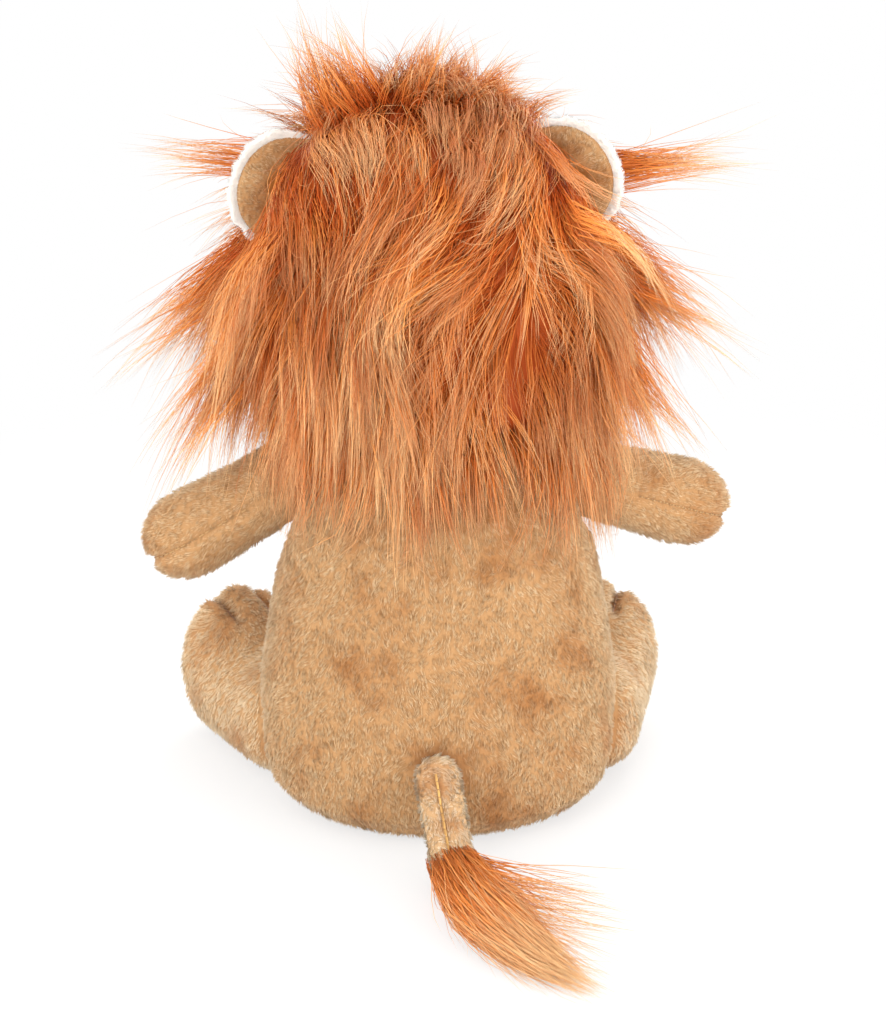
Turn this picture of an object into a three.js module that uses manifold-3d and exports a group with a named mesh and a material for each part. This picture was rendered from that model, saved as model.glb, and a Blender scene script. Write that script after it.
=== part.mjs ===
// A seated plush lion, made as a soft-toy maker sews it: short-pile panels over fibre
// filling, a pellet bag in the seat, a long-pile mane and tail tuft, ears with a pale
// lining, and plastic safety eyes and nose that washers hold from inside.
// Millimetres, +Z up. The lion sits on z = 0 and looks along -Y, so its left side is +X.
// The origin is the middle of the flat seat.

import * as THREE from "three";
import { mergeVertices } from "three/addons/utils/BufferGeometryUtils.js";
import Module from "manifold-3d";

const wasm = await Module();
wasm.setup();

// Cloth and sewing
const plushWall = 1.6; // backing cloth with its short pile pressed down
const seamGap = 0.3; // between two panels that are sewn together
const fillingGap = 0.4; // between a skin and the filling in it
const seatGap = 1; // between a limb's rounded root and the hollow it is sewn into
const neckGap = 0.6; // between the head and the hollow that it turns in
const wayPlay = 3.5; // beside the end of a limb that moves past the torso
const seatFlat = 0.5; // how deep the soft underside is pressed flat
const cutOverrun = 400; // how far the cutting boxes and cylinders reach

// Torso
const torsoHeight = 142;
const torsoWidth = 117;
const torsoDepth = 94;
const torsoSeatRound = 17;
const torsoNeckRound = 18;
const baseSeamHeight = 6;
const sideSeamForward = 7;
const torsoSwellShares = [
  // along the height, width, depth, how far it sags backwards
  [0, 0.96, 1.06, 0.06],
  [0.17, 1, 1.1, 0.06],
  [0.3, 0.98, 1.08, 0.05],
  [0.46, 0.92, 1, 0.03],
  [0.65, 0.83, 0.87, 0.01],
  [0.82, 0.74, 0.76, 0],
  [1, 0.62, 0.66, 0],
];

// Pellet bag in the seat
const pelletBagWidth = 42;
const pelletBagDepth = 44;
const pelletBagHeight = 22;
const pelletBagSetBack = 15;

// Head
const headWidth = 98;
const headHeight = 92;
const headCentreHeight = 177;
const headAside = 3; // the head sits a little to the lion's left
const headForward = 2;
const neckOpening = 44;
const headSwellShares = [
  // along the height, width, depth
  [0, 1, 1],
  [0.2, 1, 1],
  [0.38, 1.04, 1],
  [0.6, 1, 0.99],
  [0.8, 0.97, 0.98],
  [1, 0.96, 0.98],
];

// Opening for the face, an upright oval in the front of the mane
const faceWidth = 80;
const faceHeight = 72;
const faceDrop = 4;
const faceSetOut = 16;

// Arms
const armLength = 55;
const armRootRadius = 13;
const armHandRadius = 14.6;
const armTipRound = 17;
const shoulderWidth = 95;
const shoulderHeight = 104;
const shoulderForward = 3;
const armSwellShares = [
  // along the length, root radius, hand radius
  [0, 1, 0],
  [0.25, 0.75, 0.22],
  [0.5, 0.35, 0.63],
  [0.75, 0, 1],
  [1, 0, 0.97],
];

// Mane, measured from the head's centre
const maneWidth = 148;
const maneBackReach = 56;
const maneFrontReach = 50;
const maneCrownRise = 56;
const maneBackDrop = 79;
const maneFrontDrop = 53;
const maneArmGap = 9; // between the top of an arm and the hem over it
const maneHemThick = 11;
const maneNeckWidth = 68;
const maneNeckLift = 9;
const maneCrownSeamRise = 28;
const maneBackSeamSetBack = 15;
const maneLocks = 18;
const maneFurrowDepth = 4.5; // between two locks, at the hem
const maneLockDrop = 6; // how much further a lock's point hangs than the furrow beside it
const maneSwellShares = [
  // height above the hem, reach to the sides, reach to the back and front
  [0, 0.975, 0.95],
  [0.14, 1, 0.98],
  [0.32, 0.94, 1],
  [0.5, 0.82, 0.99],
  [0.68, 0.69, 0.92],
  [0.82, 0.57, 0.84],
  [0.93, 0.38, 0.64],
];
const hemFallStartShare = 0.46; // how far round to the back the hem starts to fall, as a sine
const hemFallEndShare = 0.74;

// Loose locks that stand out of the mane: where root and tip are, in head half-heights
const looseLockRadius = 15;
const lockTipShare = 0.2;
const looseLockShares = [
  // root x, y, z, tip x, y, z
  [0.45, 0, 0.75, 0.78, -0.05, 1.42],
  [-0.02, 0, 0.85, -0.12, 0.05, 1.38],
  [-0.35, 0.1, 0.75, -0.62, 0.1, 1.24],
  [0.75, -0.35, 0.2, 1.72, -0.6, 0.42],
  [-0.75, -0.35, 0.22, -1.85, -0.6, 0.46],
  [1, 0.1, -0.4, 1.9, 0.1, -0.84],
  [-1, 0.1, -0.4, -1.85, 0.1, -0.82],
];

// Ears
const earWidth = 42;
const earLength = 17; // out of the head
const earRootDepth = 7; // down to the chord between the ends of the sewn edge
const earThickness = 8;
const earBaseThickness = 3;
const earBaseGap = 0.9; // between the ear's sewn edge and the head
const earLiningRim = 1.6; // how far the pale lining shows past the back
const earPlay = 1.7; // between the ear and the pile around it
const earSwellShares = [
  // along the length, width, thickness
  [0, 0.86, 0],
  [0.3, 0.96, 0.2],
  [0.6, 1, 0.9],
  [1, 1, 1],
];

// Muzzle and chin, below the head's centre
const muzzleWidth = 47;
const muzzleHeight = 25;
const muzzleDepth = 26;
const muzzleDrop = 16;
const muzzleCleft = 18; // between the middles of its two lobes
const chinWidth = 22;
const chinHeight = 16;
const chinDepth = 16;
const chinDrop = 29;

// Nose and eyes, with the shanks and washers that hold them
const noseWidth = 16;
const noseHeight = 11;
const noseDepth = 6;
const noseDrop = 9;
const noseSetOut = 7; // from the head's skin to the back of the nose
const noseTopShare = 0.2; // how much wider the nose is at its top
const eyeDiameter = 10;
const eyeDome = 3.8;
const eyeSpacing = 37;
const eyeRise = 9;
const shankDiameter = 3.2;
const shankLength = 9; // beyond the skin
const shankClearance = 0.35;
const washerDiameter = 14;
const washerThickness = 1.4;
const washerGap = 0.9; // between the middle of a washer and the inside of the skin

// Legs
const thighRadius = 21.5;
const legLength = 53;
const footWidth = 43;
const footHeight = 53;
const footRound = 15;
const soleDepth = 6;
const hipWidth = 92;
const hipForward = 8;
const legSwellShares = [
  // along the length, thigh radius, foot half-size
  [0, 1, 0],
  [0.2, 0.93, 0.02],
  [0.4, 0.62, 0.34],
  [0.6, 0.2, 0.78],
  [0.8, 0, 1],
  [1, 0, 0.97],
];

// Tail
const tailRadius = 7.5;
const tailEndRadius = 6.5;
const tailLength = 41;
const tailTipRound = 6;
const tailRootHeight = 28;
const tailRootProud = 3.5; // how far the root's middle stands out of the back
const tailDropShares = [
  // along the tail, how much of its drop to the ground is done
  [0, 0],
  [0.25, 0.4],
  [0.55, 0.88],
  [0.8, 1],
  [1, 1],
];

// Tuft of the tail, a brush of long pile that lies down and veers aside
const tuftWidth = 30;
const tuftHeight = 18;
const tuftLength = 80;
const tuftOverlap = 24; // how far it comes back over the tail
const tuftAside = 26;
const tuftRound = 12;
const tuftSwellShares = [
  // along the tuft, width, height
  [0, 0.6, 0.9],
  [0.2, 0.9, 1],
  [0.4, 1, 0.9],
  [0.7, 0.66, 0.6],
  [0.9, 0.3, 0.35],
  [1, 0.12, 0.2],
];

// How the pieces stand, in degrees
const armDroop = { left: 32, right: 21 };
const armForward = { left: 8, right: 28 };
const legSplay = { left: 33, right: 12 };
const earRise = { left: 25, right: 30 };
const earForward = { left: 3, right: 3 };
const earFacing = 22; // how far the ears' faces turn outwards from straight ahead
const tailVeer = 12;

// How far they can be moved from there, in degrees
const armTravel = [-22, 12];
const legTravel = [-5, 10];
const tailTravel = [-25, 25];
const headTravel = [-20, 20];
const earTravel = [-12, 12];
const turnStep = 10; // between the turns of the head at which its mane is cut clear of the torso

// How finely each form is drawn
const torsoSides = 22;
const torsoRings = 8;
const headSides = 22;
const headRings = 9;
const limbSides = 12;
const limbRings = 7;
const rootRings = 2;
const tailSides = 10;
const hollowSides = 14;
const earSides = 12;
const earRings = 4;
const lockSides = 6;
const lockRings = 3;
const smallSides = 10;
const smallRings = 4;

const capPower = 2.25; // how square a stuffed end is
const seatPower = 3.2; // the seat is flatter than the rest

const tanPlush = { color: 0xd9ab76, roughness: 0.95, metalness: 0 };
const maneFur = { color: 0xc9763c, roughness: 0.8, metalness: 0 };
const palePlush = { color: 0xf4ede2, roughness: 0.95, metalness: 0 };
const fibreFilling = { color: 0xf7f7f4, roughness: 1, metalness: 0 };
const cottonBag = { color: 0xe6dfcf, roughness: 0.95, metalness: 0 };
const eyePlastic = { color: 0x17100c, roughness: 0.12, metalness: 0 };
const nosePlastic = { color: 0x4a2a1c, roughness: 0.45, metalness: 0 };
const washerPlastic = { color: 0xe9e9e6, roughness: 0.5, metalness: 0 };

const xAxis = new THREE.Vector3(1, 0, 0);
const yAxis = new THREE.Vector3(0, 1, 0);
const zAxis = new THREE.Vector3(0, 0, 1);
const down = zAxis.clone().negate();
const radians = THREE.MathUtils.degToRad;

// Values that run smoothly between the rows of a table; a row starts with its place.
function smoothRows(rows) {
  const size = rows[0].length - 1;
  const places = rows.map((row) => row[0]);
  const values = rows.flatMap((row) => row.slice(1));
  const curve = new THREE.CubicInterpolant(places, values, size);
  return (place) => Array.from(curve.evaluate(place));
}

// The share of its full girth that a form keeps near a rounded end; depthIn is 0 at the pole.
function roundedEnd(depthIn, round, power) {
  if (depthIn >= round) return 1;
  const out = 1 - Math.max(depthIn, 0) / round;
  return Math.pow(Math.max(1 - Math.pow(out, power), 0), 1 / power);
}

// An ellipse of points about a centre, turning from `across` towards `up`.
function ellipse(centre, across, up, halfAcross, halfUp, sides) {
  return Array.from({ length: sides }, (_, side) => {
    const turn = (2 * Math.PI * side) / sides;
    return centre
      .clone()
      .addScaledVector(across, halfAcross * Math.cos(turn))
      .addScaledVector(up, halfUp * Math.sin(turn));
  });
}

// A ring drawn out to both sides of its centre, as far as the piece in it moves when it turns
// by the spread about a hinge at a distance.
function drawnOut(ring, centre, direction, half, distance, spread) {
  const reach = distance * Math.tan(spread) + half / Math.cos(spread) - half;
  return ring.map((point) => {
    const side = Math.sign(Math.round(point.clone().sub(centre).dot(direction) / seamGap));
    return point.addScaledVector(direction, side * reach);
  });
}

// One closed surface through rings of points, with a pole at each end.
function closeRings(first, rings, last) {
  const sides = rings[0].length;
  const points = [first, ...rings.flat(), last];
  const at = (ring, side) => 1 + ring * sides + (side % sides);
  const faces = [];
  for (let side = 0; side < sides; side++) {
    faces.push(0, at(0, side + 1), at(0, side));
    for (let ring = 0; ring < rings.length - 1; ring++) {
      faces.push(at(ring, side), at(ring, side + 1), at(ring + 1, side + 1));
      faces.push(at(ring, side), at(ring + 1, side + 1), at(ring + 1, side));
    }
    const end = rings.length - 1;
    faces.push(points.length - 1, at(end, side), at(end, side + 1));
  }
  const geometry = new THREE.BufferGeometry().setFromPoints(points);
  geometry.setIndex(faces);
  return geometry;
}

// A geometry with shared points and nothing but their places.
function bareOf(geometry) {
  const bare = geometry.clone();
  bare.deleteAttribute("normal");
  bare.deleteAttribute("uv");
  return mergeVertices(bare);
}

// The same surface moved outwards by a distance, or inwards by a negative one.
function offset(geometry, distance) {
  const moved = bareOf(geometry);
  moved.computeVertexNormals();
  const { position, normal } = moved.attributes;
  for (let i = 0; i < position.count; i++) {
    const point = new THREE.Vector3().fromBufferAttribute(position, i);
    const outwards = new THREE.Vector3().fromBufferAttribute(normal, i);
    point.addScaledVector(outwards, distance);
    position.setXYZ(i, point.x, point.y, point.z);
  }
  moved.deleteAttribute("normal");
  return moved;
}

// A closed geometry as a solid that can be joined and cut.
function solidOf(geometry) {
  const bare = bareOf(geometry);
  const surface = new wasm.Mesh({
    numProp: 3,
    vertProperties: bare.attributes.position.array,
    triVerts: new Uint32Array(bare.index.array),
  });
  return new wasm.Manifold(surface);
}

function geometryOf(solid) {
  const surface = solid.getMesh();
  const geometry = new THREE.BufferGeometry();
  geometry.setAttribute("position", new THREE.BufferAttribute(surface.vertProperties, 3));
  geometry.setIndex(new THREE.BufferAttribute(surface.triVerts, 1));
  geometry.computeVertexNormals();
  return geometry;
}

function joined(solids) {
  return solids.reduce((sum, solid) => sum.add(solid));
}

function cutBy(solid, cutters) {
  return cutters.reduce((left, cutter) => left.subtract(cutter), solid);
}

// Everything on the side of a plane that its normal points to.
function beyond(point, normal) {
  const box = new THREE.BoxGeometry(2 * cutOverrun, 2 * cutOverrun, cutOverrun);
  box.translate(0, 0, cutOverrun / 2);
  const turn = new THREE.Quaternion().setFromUnitVectors(zAxis, normal);
  return solidOf(box.applyQuaternion(turn).translate(point.x, point.y, point.z));
}

// One side of a sewn seam, which keeps half of the seam's gap to the other side.
function seamSide(point, normal) {
  return beyond(point.clone().addScaledVector(normal, seamGap / 2), normal);
}

function below(height) {
  return beyond(new THREE.Vector3(0, 0, height), down);
}

function ball(centre, radius) {
  const sphere = new THREE.SphereGeometry(radius, hollowSides, hollowSides / 2);
  return solidOf(sphere.translate(centre.x, centre.y, centre.z));
}

function ellipsoid(centre, width, depth, height) {
  const sphere = new THREE.SphereGeometry(1 / 2, smallSides, smallRings).rotateX(Math.PI / 2);
  return sphere.scale(width, depth, height).translate(centre.x, centre.y, centre.z);
}

// A straight rod of an elliptical section from a point along a direction.
function rod(start, direction, width, height, length, sides) {
  const shape = new THREE.CylinderGeometry(1 / 2, 1 / 2, length, sides);
  shape.translate(0, length / 2, 0).scale(width, 1, height);
  const turn = new THREE.Quaternion().setFromUnitVectors(yAxis, direction);
  return solidOf(shape.applyQuaternion(turn).translate(start.x, start.y, start.z));
}

// Where a line from outside towards a point first meets a form.
function skinPoint(geometry, point, outwards) {
  const start = point.clone().addScaledVector(outwards, cutOverrun);
  const caster = new THREE.Raycaster(start, outwards.clone().negate());
  return caster.intersectObject(new THREE.Mesh(geometry))[0].point;
}

function mesh(name, solid, finish) {
  const piece = new THREE.Mesh(geometryOf(solid), new THREE.MeshStandardMaterial(finish));
  piece.name = name;
  return piece;
}

// The middle of a travel and how far it goes to each side of that.
function travelOf([low, high]) {
  return { middle: radians((low + high) / 2), spread: radians((high - low) / 2) };
}

// Torso form: rings up the middle, flat at the seat and round at the neck.
function torsoForm() {
  const swell = smoothRows(torsoSwellShares);
  const whole = torsoHeight + seatFlat;
  const ringAt = (height) => {
    const [width, depth, sag] = swell(height / whole);
    const seat = roundedEnd(height, torsoSeatRound, seatPower);
    const neck = roundedEnd(whole - height, torsoNeckRound, capPower);
    const centre = new THREE.Vector3(0, sag * torsoDepth, height - seatFlat);
    const halfWidth = (width * torsoWidth * seat * neck) / 2;
    const halfDepth = (depth * torsoDepth * seat * neck) / 2;
    return ellipse(centre, xAxis, yAxis, halfWidth, halfDepth, torsoSides);
  };
  const rings = [ringAt(seatFlat / 2)];
  for (let ring = 1; ring < torsoRings; ring++) {
    rings.push(ringAt((whole * (1 - Math.cos((Math.PI * ring) / torsoRings))) / 2));
  }
  const bottom = new THREE.Vector3(0, swell(0)[2] * torsoDepth, -seatFlat);
  const top = new THREE.Vector3(0, 0, torsoHeight);
  return closeRings(bottom, rings, top);
}

// Head form about its centre. It is round about the neck's axis low down, with full cheeks.
function headForm() {
  const swell = smoothRows(headSwellShares);
  const rings = [];
  for (let ring = 1; ring < headRings; ring++) {
    const along = (1 - Math.cos((Math.PI * ring) / headRings)) / 2;
    const [width, depth] = swell(along);
    const height = (along - 1 / 2) * headHeight;
    const half = (headWidth / 2) * roundedEnd(headHeight / 2 - Math.abs(height), headHeight / 2, capPower);
    const centre = new THREE.Vector3(0, 0, height);
    rings.push(ellipse(centre, xAxis, yAxis, half * width, half * depth, headSides));
  }
  const low = new THREE.Vector3(0, 0, -headHeight / 2);
  const high = new THREE.Vector3(0, 0, headHeight / 2);
  return closeRings(low, rings, high);
}

// The rings of the ball at a limb's root, from its pole to the joint's centre.
function rootBallRings(radius, sides) {
  return Array.from({ length: rootRings }, (_, i) => {
    const angle = (Math.PI / 2) * ((i + 1) / (rootRings + 1));
    const centre = new THREE.Vector3(-radius * Math.cos(angle), 0, 0);
    const half = radius * Math.sin(angle);
    return ellipse(centre, yAxis, zAxis, half, half, sides);
  });
}

// Arm form along +X from the shoulder, swelling towards the hand. Play makes it larger
// towards its end, and a spread draws it out along Z into the way that the arm moves through.
function armForm(play = 0, spread = 0) {
  const swell = smoothRows(armSwellShares);
  const rings = rootBallRings(armRootRadius, limbSides);
  for (let ring = 0; ring < limbRings; ring++) {
    const along = Math.sin(((Math.PI / 2) * ring) / limbRings);
    const [root, hand] = swell(along);
    const round = roundedEnd((1 - along) * armLength, armTipRound, capPower);
    const half = (root * armRootRadius + hand * armHandRadius) * round + along * play;
    const centre = new THREE.Vector3(along * armLength, 0, 0);
    const outline = ellipse(centre, yAxis, zAxis, half, half, limbSides);
    rings.push(drawnOut(outline, centre, zAxis, half, along * armLength, spread));
  }
  const root = new THREE.Vector3(-armRootRadius, 0, 0);
  return closeRings(root, rings, new THREE.Vector3(armLength + play, 0, 0));
}

// Leg form along +X from the hip. It lies on the ground, and the foot stands up at its end.
// The play and the spread are as for the arm, but the leg moves along Y.
function legForm(play = 0, spread = 0) {
  const swell = smoothRows(legSwellShares);
  const rings = rootBallRings(thighRadius, limbSides);
  for (let ring = 0; ring < limbRings; ring++) {
    const along = Math.sin(((Math.PI / 2) * ring) / limbRings);
    const [thigh, foot] = swell(along);
    const round = roundedEnd((1 - along) * legLength, footRound, seatPower);
    const halfWidth = thigh * thighRadius + (foot * footWidth) / 2;
    const halfHeight = thigh * thighRadius + (foot * footHeight) / 2;
    const centre = new THREE.Vector3(along * legLength, 0, halfHeight - thighRadius);
    const half = halfWidth * round + along * play;
    const outline = ellipse(centre, yAxis, zAxis, half, halfHeight * round + along * play, limbSides);
    rings.push(drawnOut(outline, centre, yAxis, half, along * legLength, spread));
  }
  const root = new THREE.Vector3(-thighRadius, 0, 0);
  const sole = new THREE.Vector3(legLength + play, 0, footHeight / 2 - thighRadius);
  return closeRings(root, rings, sole);
}

// Tail form from its root ball: it drops to the ground and lies along +X, and moves along Y.
function tailForm(play = 0, spread = 0) {
  const dropped = smoothRows(tailDropShares);
  const drop = tailRootHeight - tailEndRadius + seatFlat;
  const rings = rootBallRings(tailRadius, tailSides);
  for (let ring = 0; ring < limbRings; ring++) {
    const along = Math.sin(((Math.PI / 2) * ring) / limbRings);
    const round = roundedEnd((1 - along) * tailLength, tailTipRound, capPower);
    const half = THREE.MathUtils.lerp(tailRadius, tailEndRadius, along) * round + along * play;
    const centre = new THREE.Vector3(along * tailLength, 0, -drop * dropped(along)[0]);
    const outline = ellipse(centre, yAxis, zAxis, half, half, tailSides);
    rings.push(drawnOut(outline, centre, yAxis, half, along * tailLength, spread));
  }
  const root = new THREE.Vector3(-tailRadius, 0, 0);
  return closeRings(root, rings, new THREE.Vector3(tailLength + play, 0, -drop));
}

// Tuft form from the tail's end, resting on the ground all along.
function tuftForm() {
  const swell = smoothRows(tuftSwellShares);
  const start = tailLength - tuftOverlap;
  const path = new THREE.QuadraticBezierCurve3(
    new THREE.Vector3(start, 0, 0),
    new THREE.Vector3(start + tuftLength / 2, 0, 0),
    new THREE.Vector3(start + tuftLength, tuftAside, 0),
  );
  const centreAt = (along) => {
    const halfHeight = (swell(along)[1] * tuftHeight) / 2;
    return path.getPointAt(along).setZ(halfHeight - seatFlat - tailRootHeight);
  };
  const rings = [];
  for (let ring = 1; ring < limbRings; ring++) {
    const along = ring / limbRings;
    const [width, height] = swell(along);
    const round = roundedEnd(along * tuftLength, tuftRound, capPower);
    const across = new THREE.Vector3().crossVectors(zAxis, path.getTangentAt(along));
    const halfWidth = (width * tuftWidth * round) / 2;
    const halfHeight = (height * tuftHeight * round) / 2;
    rings.push(ellipse(centreAt(along), across, zAxis, halfWidth, halfHeight, tailSides));
  }
  return closeRings(centreAt(0), rings, centreAt(1));
}

// Ear form along +X from the chord of its sewn edge, wide and flat. The rim makes it wider
// and longer, play makes it larger all round, and it folds along Z by the spread.
function earForm(rim, play = 0, spread = 0) {
  const swell = smoothRows(earSwellShares);
  const length = earRootDepth + earLength + rim + play;
  const rings = [];
  for (let ring = 0; ring < earRings; ring++) {
    const along = Math.sin(((Math.PI / 2) * ring) / earRings);
    const [width, thick] = swell(along);
    const round = roundedEnd((1 - along) * length, length, capPower);
    const halfWidth = (earWidth / 2 + rim) * width * round + play;
    const thickness = THREE.MathUtils.lerp(earBaseThickness, earThickness, thick);
    const halfThick = (thickness / 2) * Math.sqrt(round) + play;
    const centre = new THREE.Vector3(along * length, 0, 0);
    const outline = ellipse(centre, yAxis, zAxis, halfWidth, halfThick, earSides);
    rings.push(drawnOut(outline, centre, zAxis, halfThick, along * length, spread));
  }
  return closeRings(new THREE.Vector3(-earBaseThickness, 0, 0), rings, new THREE.Vector3(length, 0, 0));
}

// How low the mane's hem hangs at an angle round the head, where 90 degrees is the back.
function hemLevel(turn) {
  const side = shoulderHeight + armHandRadius + maneArmGap - headCentreHeight;
  const back = THREE.MathUtils.smoothstep(Math.sin(turn), hemFallStartShare, hemFallEndShare);
  const front = THREE.MathUtils.smoothstep(-Math.sin(turn), hemFallStartShare, hemFallEndShare);
  return side + back * (-maneBackDrop - side) + front * (-maneFrontDrop - side);
}

// One ring of the mane. Every other point is on a lock's ridge, and between them are furrows.
function maneRing([heightShare, sideShare, depthShare], inset) {
  return Array.from({ length: 2 * maneLocks }, (_, i) => {
    const turn = (Math.PI * i) / maneLocks;
    const hem = hemLevel(turn);
    const fallen = 1 - heightShare;
    const ridge = (i % 2 === 0 ? 1 : -1) * fallen;
    const furrow = (ridge * maneFurrowDepth) / 2 - inset;
    const depth = Math.sin(turn) > 0 ? maneBackReach : maneFrontReach;
    return new THREE.Vector3(
      ((sideShare * maneWidth) / 2 + furrow) * Math.cos(turn),
      (depthShare * depth + furrow) * Math.sin(turn),
      hem + heightShare * (maneCrownRise - hem) - (ridge * fallen * maneLockDrop) / 2,
    );
  });
}

// The mane as one thick bell over the head, hollow below around the neck.
function maneBell() {
  const outside = maneSwellShares.map((row) => maneRing(row, 0));
  const inside = maneRing(maneSwellShares[0], maneHemThick);
  inside.forEach((point) => point.setZ(point.z + maneHemThick / 2));
  const neckCentre = new THREE.Vector3(0, 0, maneNeckLift - headHeight / 2);
  const half = maneNeckWidth / 2;
  const neck = ellipse(neckCentre, xAxis, yAxis, half, half, 2 * maneLocks);
  const crown = new THREE.Vector3(0, 0, maneCrownRise);
  return solidOf(closeRings(neckCentre, [neck, inside, ...outside], crown));
}

// One loose lock: a bent, pointed bunch of pile.
function looseLock([rootX, rootY, rootZ, tipX, tipY, tipZ]) {
  const root = new THREE.Vector3(rootX, rootY, rootZ).multiplyScalar(headHeight / 2);
  const tip = new THREE.Vector3(tipX, tipY, tipZ).multiplyScalar(headHeight / 2);
  const bend = root.clone().lerp(tip, 1 / 2).addScaledVector(zAxis, looseLockRadius / 2);
  const path = new THREE.QuadraticBezierCurve3(root, bend, tip);
  const rings = [];
  for (let ring = 1; ring < lockRings; ring++) {
    const along = ring / lockRings;
    const way = path.getTangentAt(along);
    const across = new THREE.Vector3().crossVectors(yAxis, way).normalize();
    const up = new THREE.Vector3().crossVectors(way, across);
    const half = looseLockRadius * THREE.MathUtils.lerp(1, lockTipShare, along);
    rings.push(ellipse(path.getPointAt(along), across, up, half, half, lockSides));
  }
  return solidOf(closeRings(root, rings, tip));
}

const headCentre = new THREE.Vector3(headAside, -headForward, headCentreHeight);
const torsoShape = torsoForm();
const headShape = headForm();
const armShape = armForm();
const legShape = legForm();
const tailShape = tailForm();
const tuftShape = tuftForm();

const headPlace = new THREE.Matrix4().setPosition(headCentre);
const tailMiddle = new THREE.Vector3(0, 0, tailRootHeight);
const tailRoot = skinPoint(torsoShape, tailMiddle, yAxis).addScaledVector(yAxis, tailRootProud);
const tailPlace = new THREE.Matrix4()
  .makeRotationZ(Math.PI / 2 + radians(tailVeer))
  .setPosition(tailRoot);

// Where the limbs and the ear of one side are sewn on, and how they stand.
function placesOf(side) {
  const sign = side === "left" ? 1 : -1;
  const shoulder = new THREE.Vector3((sign * shoulderWidth) / 2, -shoulderForward, shoulderHeight);
  const hip = new THREE.Vector3((sign * hipWidth) / 2, -hipForward, thighRadius - seatFlat);
  const straightOut = side === "left" ? 0 : Math.PI;
  const armPlace = new THREE.Matrix4()
    .makeRotationZ(straightOut - sign * radians(armForward[side]))
    .multiply(new THREE.Matrix4().makeRotationY(radians(armDroop[side])))
    .setPosition(shoulder);
  const legPlace = new THREE.Matrix4()
    .makeRotationZ(-Math.PI / 2 + sign * radians(legSplay[side]))
    .setPosition(hip);

  const rise = radians(earRise[side]);
  const aside = new THREE.Vector3(sign * Math.cos(rise), 0, Math.sin(rise));
  const earOut = aside.addScaledVector(yAxis, -Math.sin(radians(earForward[side]))).normalize();
  const ahead = new THREE.Vector3(sign * Math.sin(radians(earFacing)), -Math.cos(radians(earFacing)), 0);
  const earChord = new THREE.Vector3().crossVectors(ahead, earOut).normalize();
  const earFace = new THREE.Vector3().crossVectors(earOut, earChord);
  const skin = skinPoint(headShape, new THREE.Vector3(), earOut);
  const earRoot = skin.addScaledVector(earOut, -earRootDepth);
  const earPlace = new THREE.Matrix4().makeBasis(earOut, earChord, earFace).setPosition(earRoot);
  return { side, sign, armPlace, legPlace, earPlace };
}

const places = ["left", "right"].map(placesOf);

// The ways that the limbs and the tail move through, which the torso leaves clear.
function armWay({ armPlace }) {
  const { middle, spread } = travelOf(armTravel);
  const lifted = armPlace.clone().multiply(new THREE.Matrix4().makeRotationY(-middle));
  return solidOf(armForm(wayPlay, spread).applyMatrix4(lifted));
}

function legWay({ legPlace, sign }) {
  const { middle, spread } = travelOf(legTravel);
  const splayed = legPlace.clone().multiply(new THREE.Matrix4().makeRotationZ(sign * middle));
  return solidOf(legForm(wayPlay, spread).applyMatrix4(splayed));
}

function tailWay() {
  const { middle, spread } = travelOf(tailTravel);
  const swung = tailPlace.clone().multiply(new THREE.Matrix4().makeRotationZ(middle));
  return solidOf(tailForm(wayPlay, spread).applyMatrix4(swung));
}

// The hollows that the head and the limbs' root balls press into, at a depth under the skin.
function torsoHollows(depth) {
  const room = seatGap + depth;
  const middleOf = (place) => new THREE.Vector3().setFromMatrixPosition(place);
  const balls = places.flatMap(({ armPlace, legPlace }) => [
    ball(middleOf(armPlace), armRootRadius + room),
    ball(middleOf(legPlace), thighRadius + room),
  ]);
  const head = solidOf(offset(headShape, neckGap + depth).applyMatrix4(headPlace));
  return [...balls, ball(tailRoot, tailRadius + room), head];
}

// Torso: belly, two back panels with a seam up the middle, a base, filling and a pellet bag.
function buildTorso(lion) {
  const ways = [...places.map(armWay), ...places.map(legWay), tailWay()];
  const neck = headCentre.clone().setZ(torsoHeight / 2);
  const neckHole = rod(neck, zAxis, neckOpening, neckOpening, torsoHeight, headSides);
  const outer = cutBy(solidOf(torsoShape), [...torsoHollows(0), ...ways, below(0)]);
  const innerShape = solidOf(offset(torsoShape, -plushWall));
  const inner = cutBy(innerShape, [...torsoHollows(plushWall), below(plushWall)]);
  const skin = cutBy(outer, [inner, neckHole]);

  const baseSeam = new THREE.Vector3(0, 0, baseSeamHeight);
  const sideSeam = new THREE.Vector3(0, -sideSeamForward, 0);
  const backSeam = new THREE.Vector3(0, 0, 0);
  const upper = skin.intersect(seamSide(baseSeam, zAxis));
  const back = upper.intersect(seamSide(sideSeam, yAxis));
  lion.add(
    mesh("torso_base", skin.intersect(seamSide(baseSeam, down)), tanPlush),
    mesh("torso_belly", upper.intersect(seamSide(sideSeam, yAxis.clone().negate())), tanPlush),
    mesh("torso_back_left", back.intersect(seamSide(backSeam, xAxis)), tanPlush),
    mesh("torso_back_right", back.intersect(seamSide(backSeam, xAxis.clone().negate())), tanPlush),
  );

  const inset = plushWall + fillingGap;
  const bagCentre = new THREE.Vector3(0, pelletBagSetBack, inset + fillingGap + pelletBagHeight / 2);
  const bag = ellipsoid(bagCentre, pelletBagWidth, pelletBagDepth, pelletBagHeight);
  const room = [...torsoHollows(inset), ...ways, below(inset)];
  const underBag = rod(bagCentre, down, pelletBagWidth / 2, pelletBagDepth / 2, pelletBagHeight, smallSides);
  const filling = cutBy(solidOf(offset(torsoShape, -inset)), [
    ...room,
    solidOf(offset(bag, fillingGap)),
    underBag,
  ]);
  lion.add(
    mesh("torso_filling", filling, fibreFilling),
    mesh("pellet_bag", cutBy(solidOf(bag), room), cottonBag),
  );
}

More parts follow.
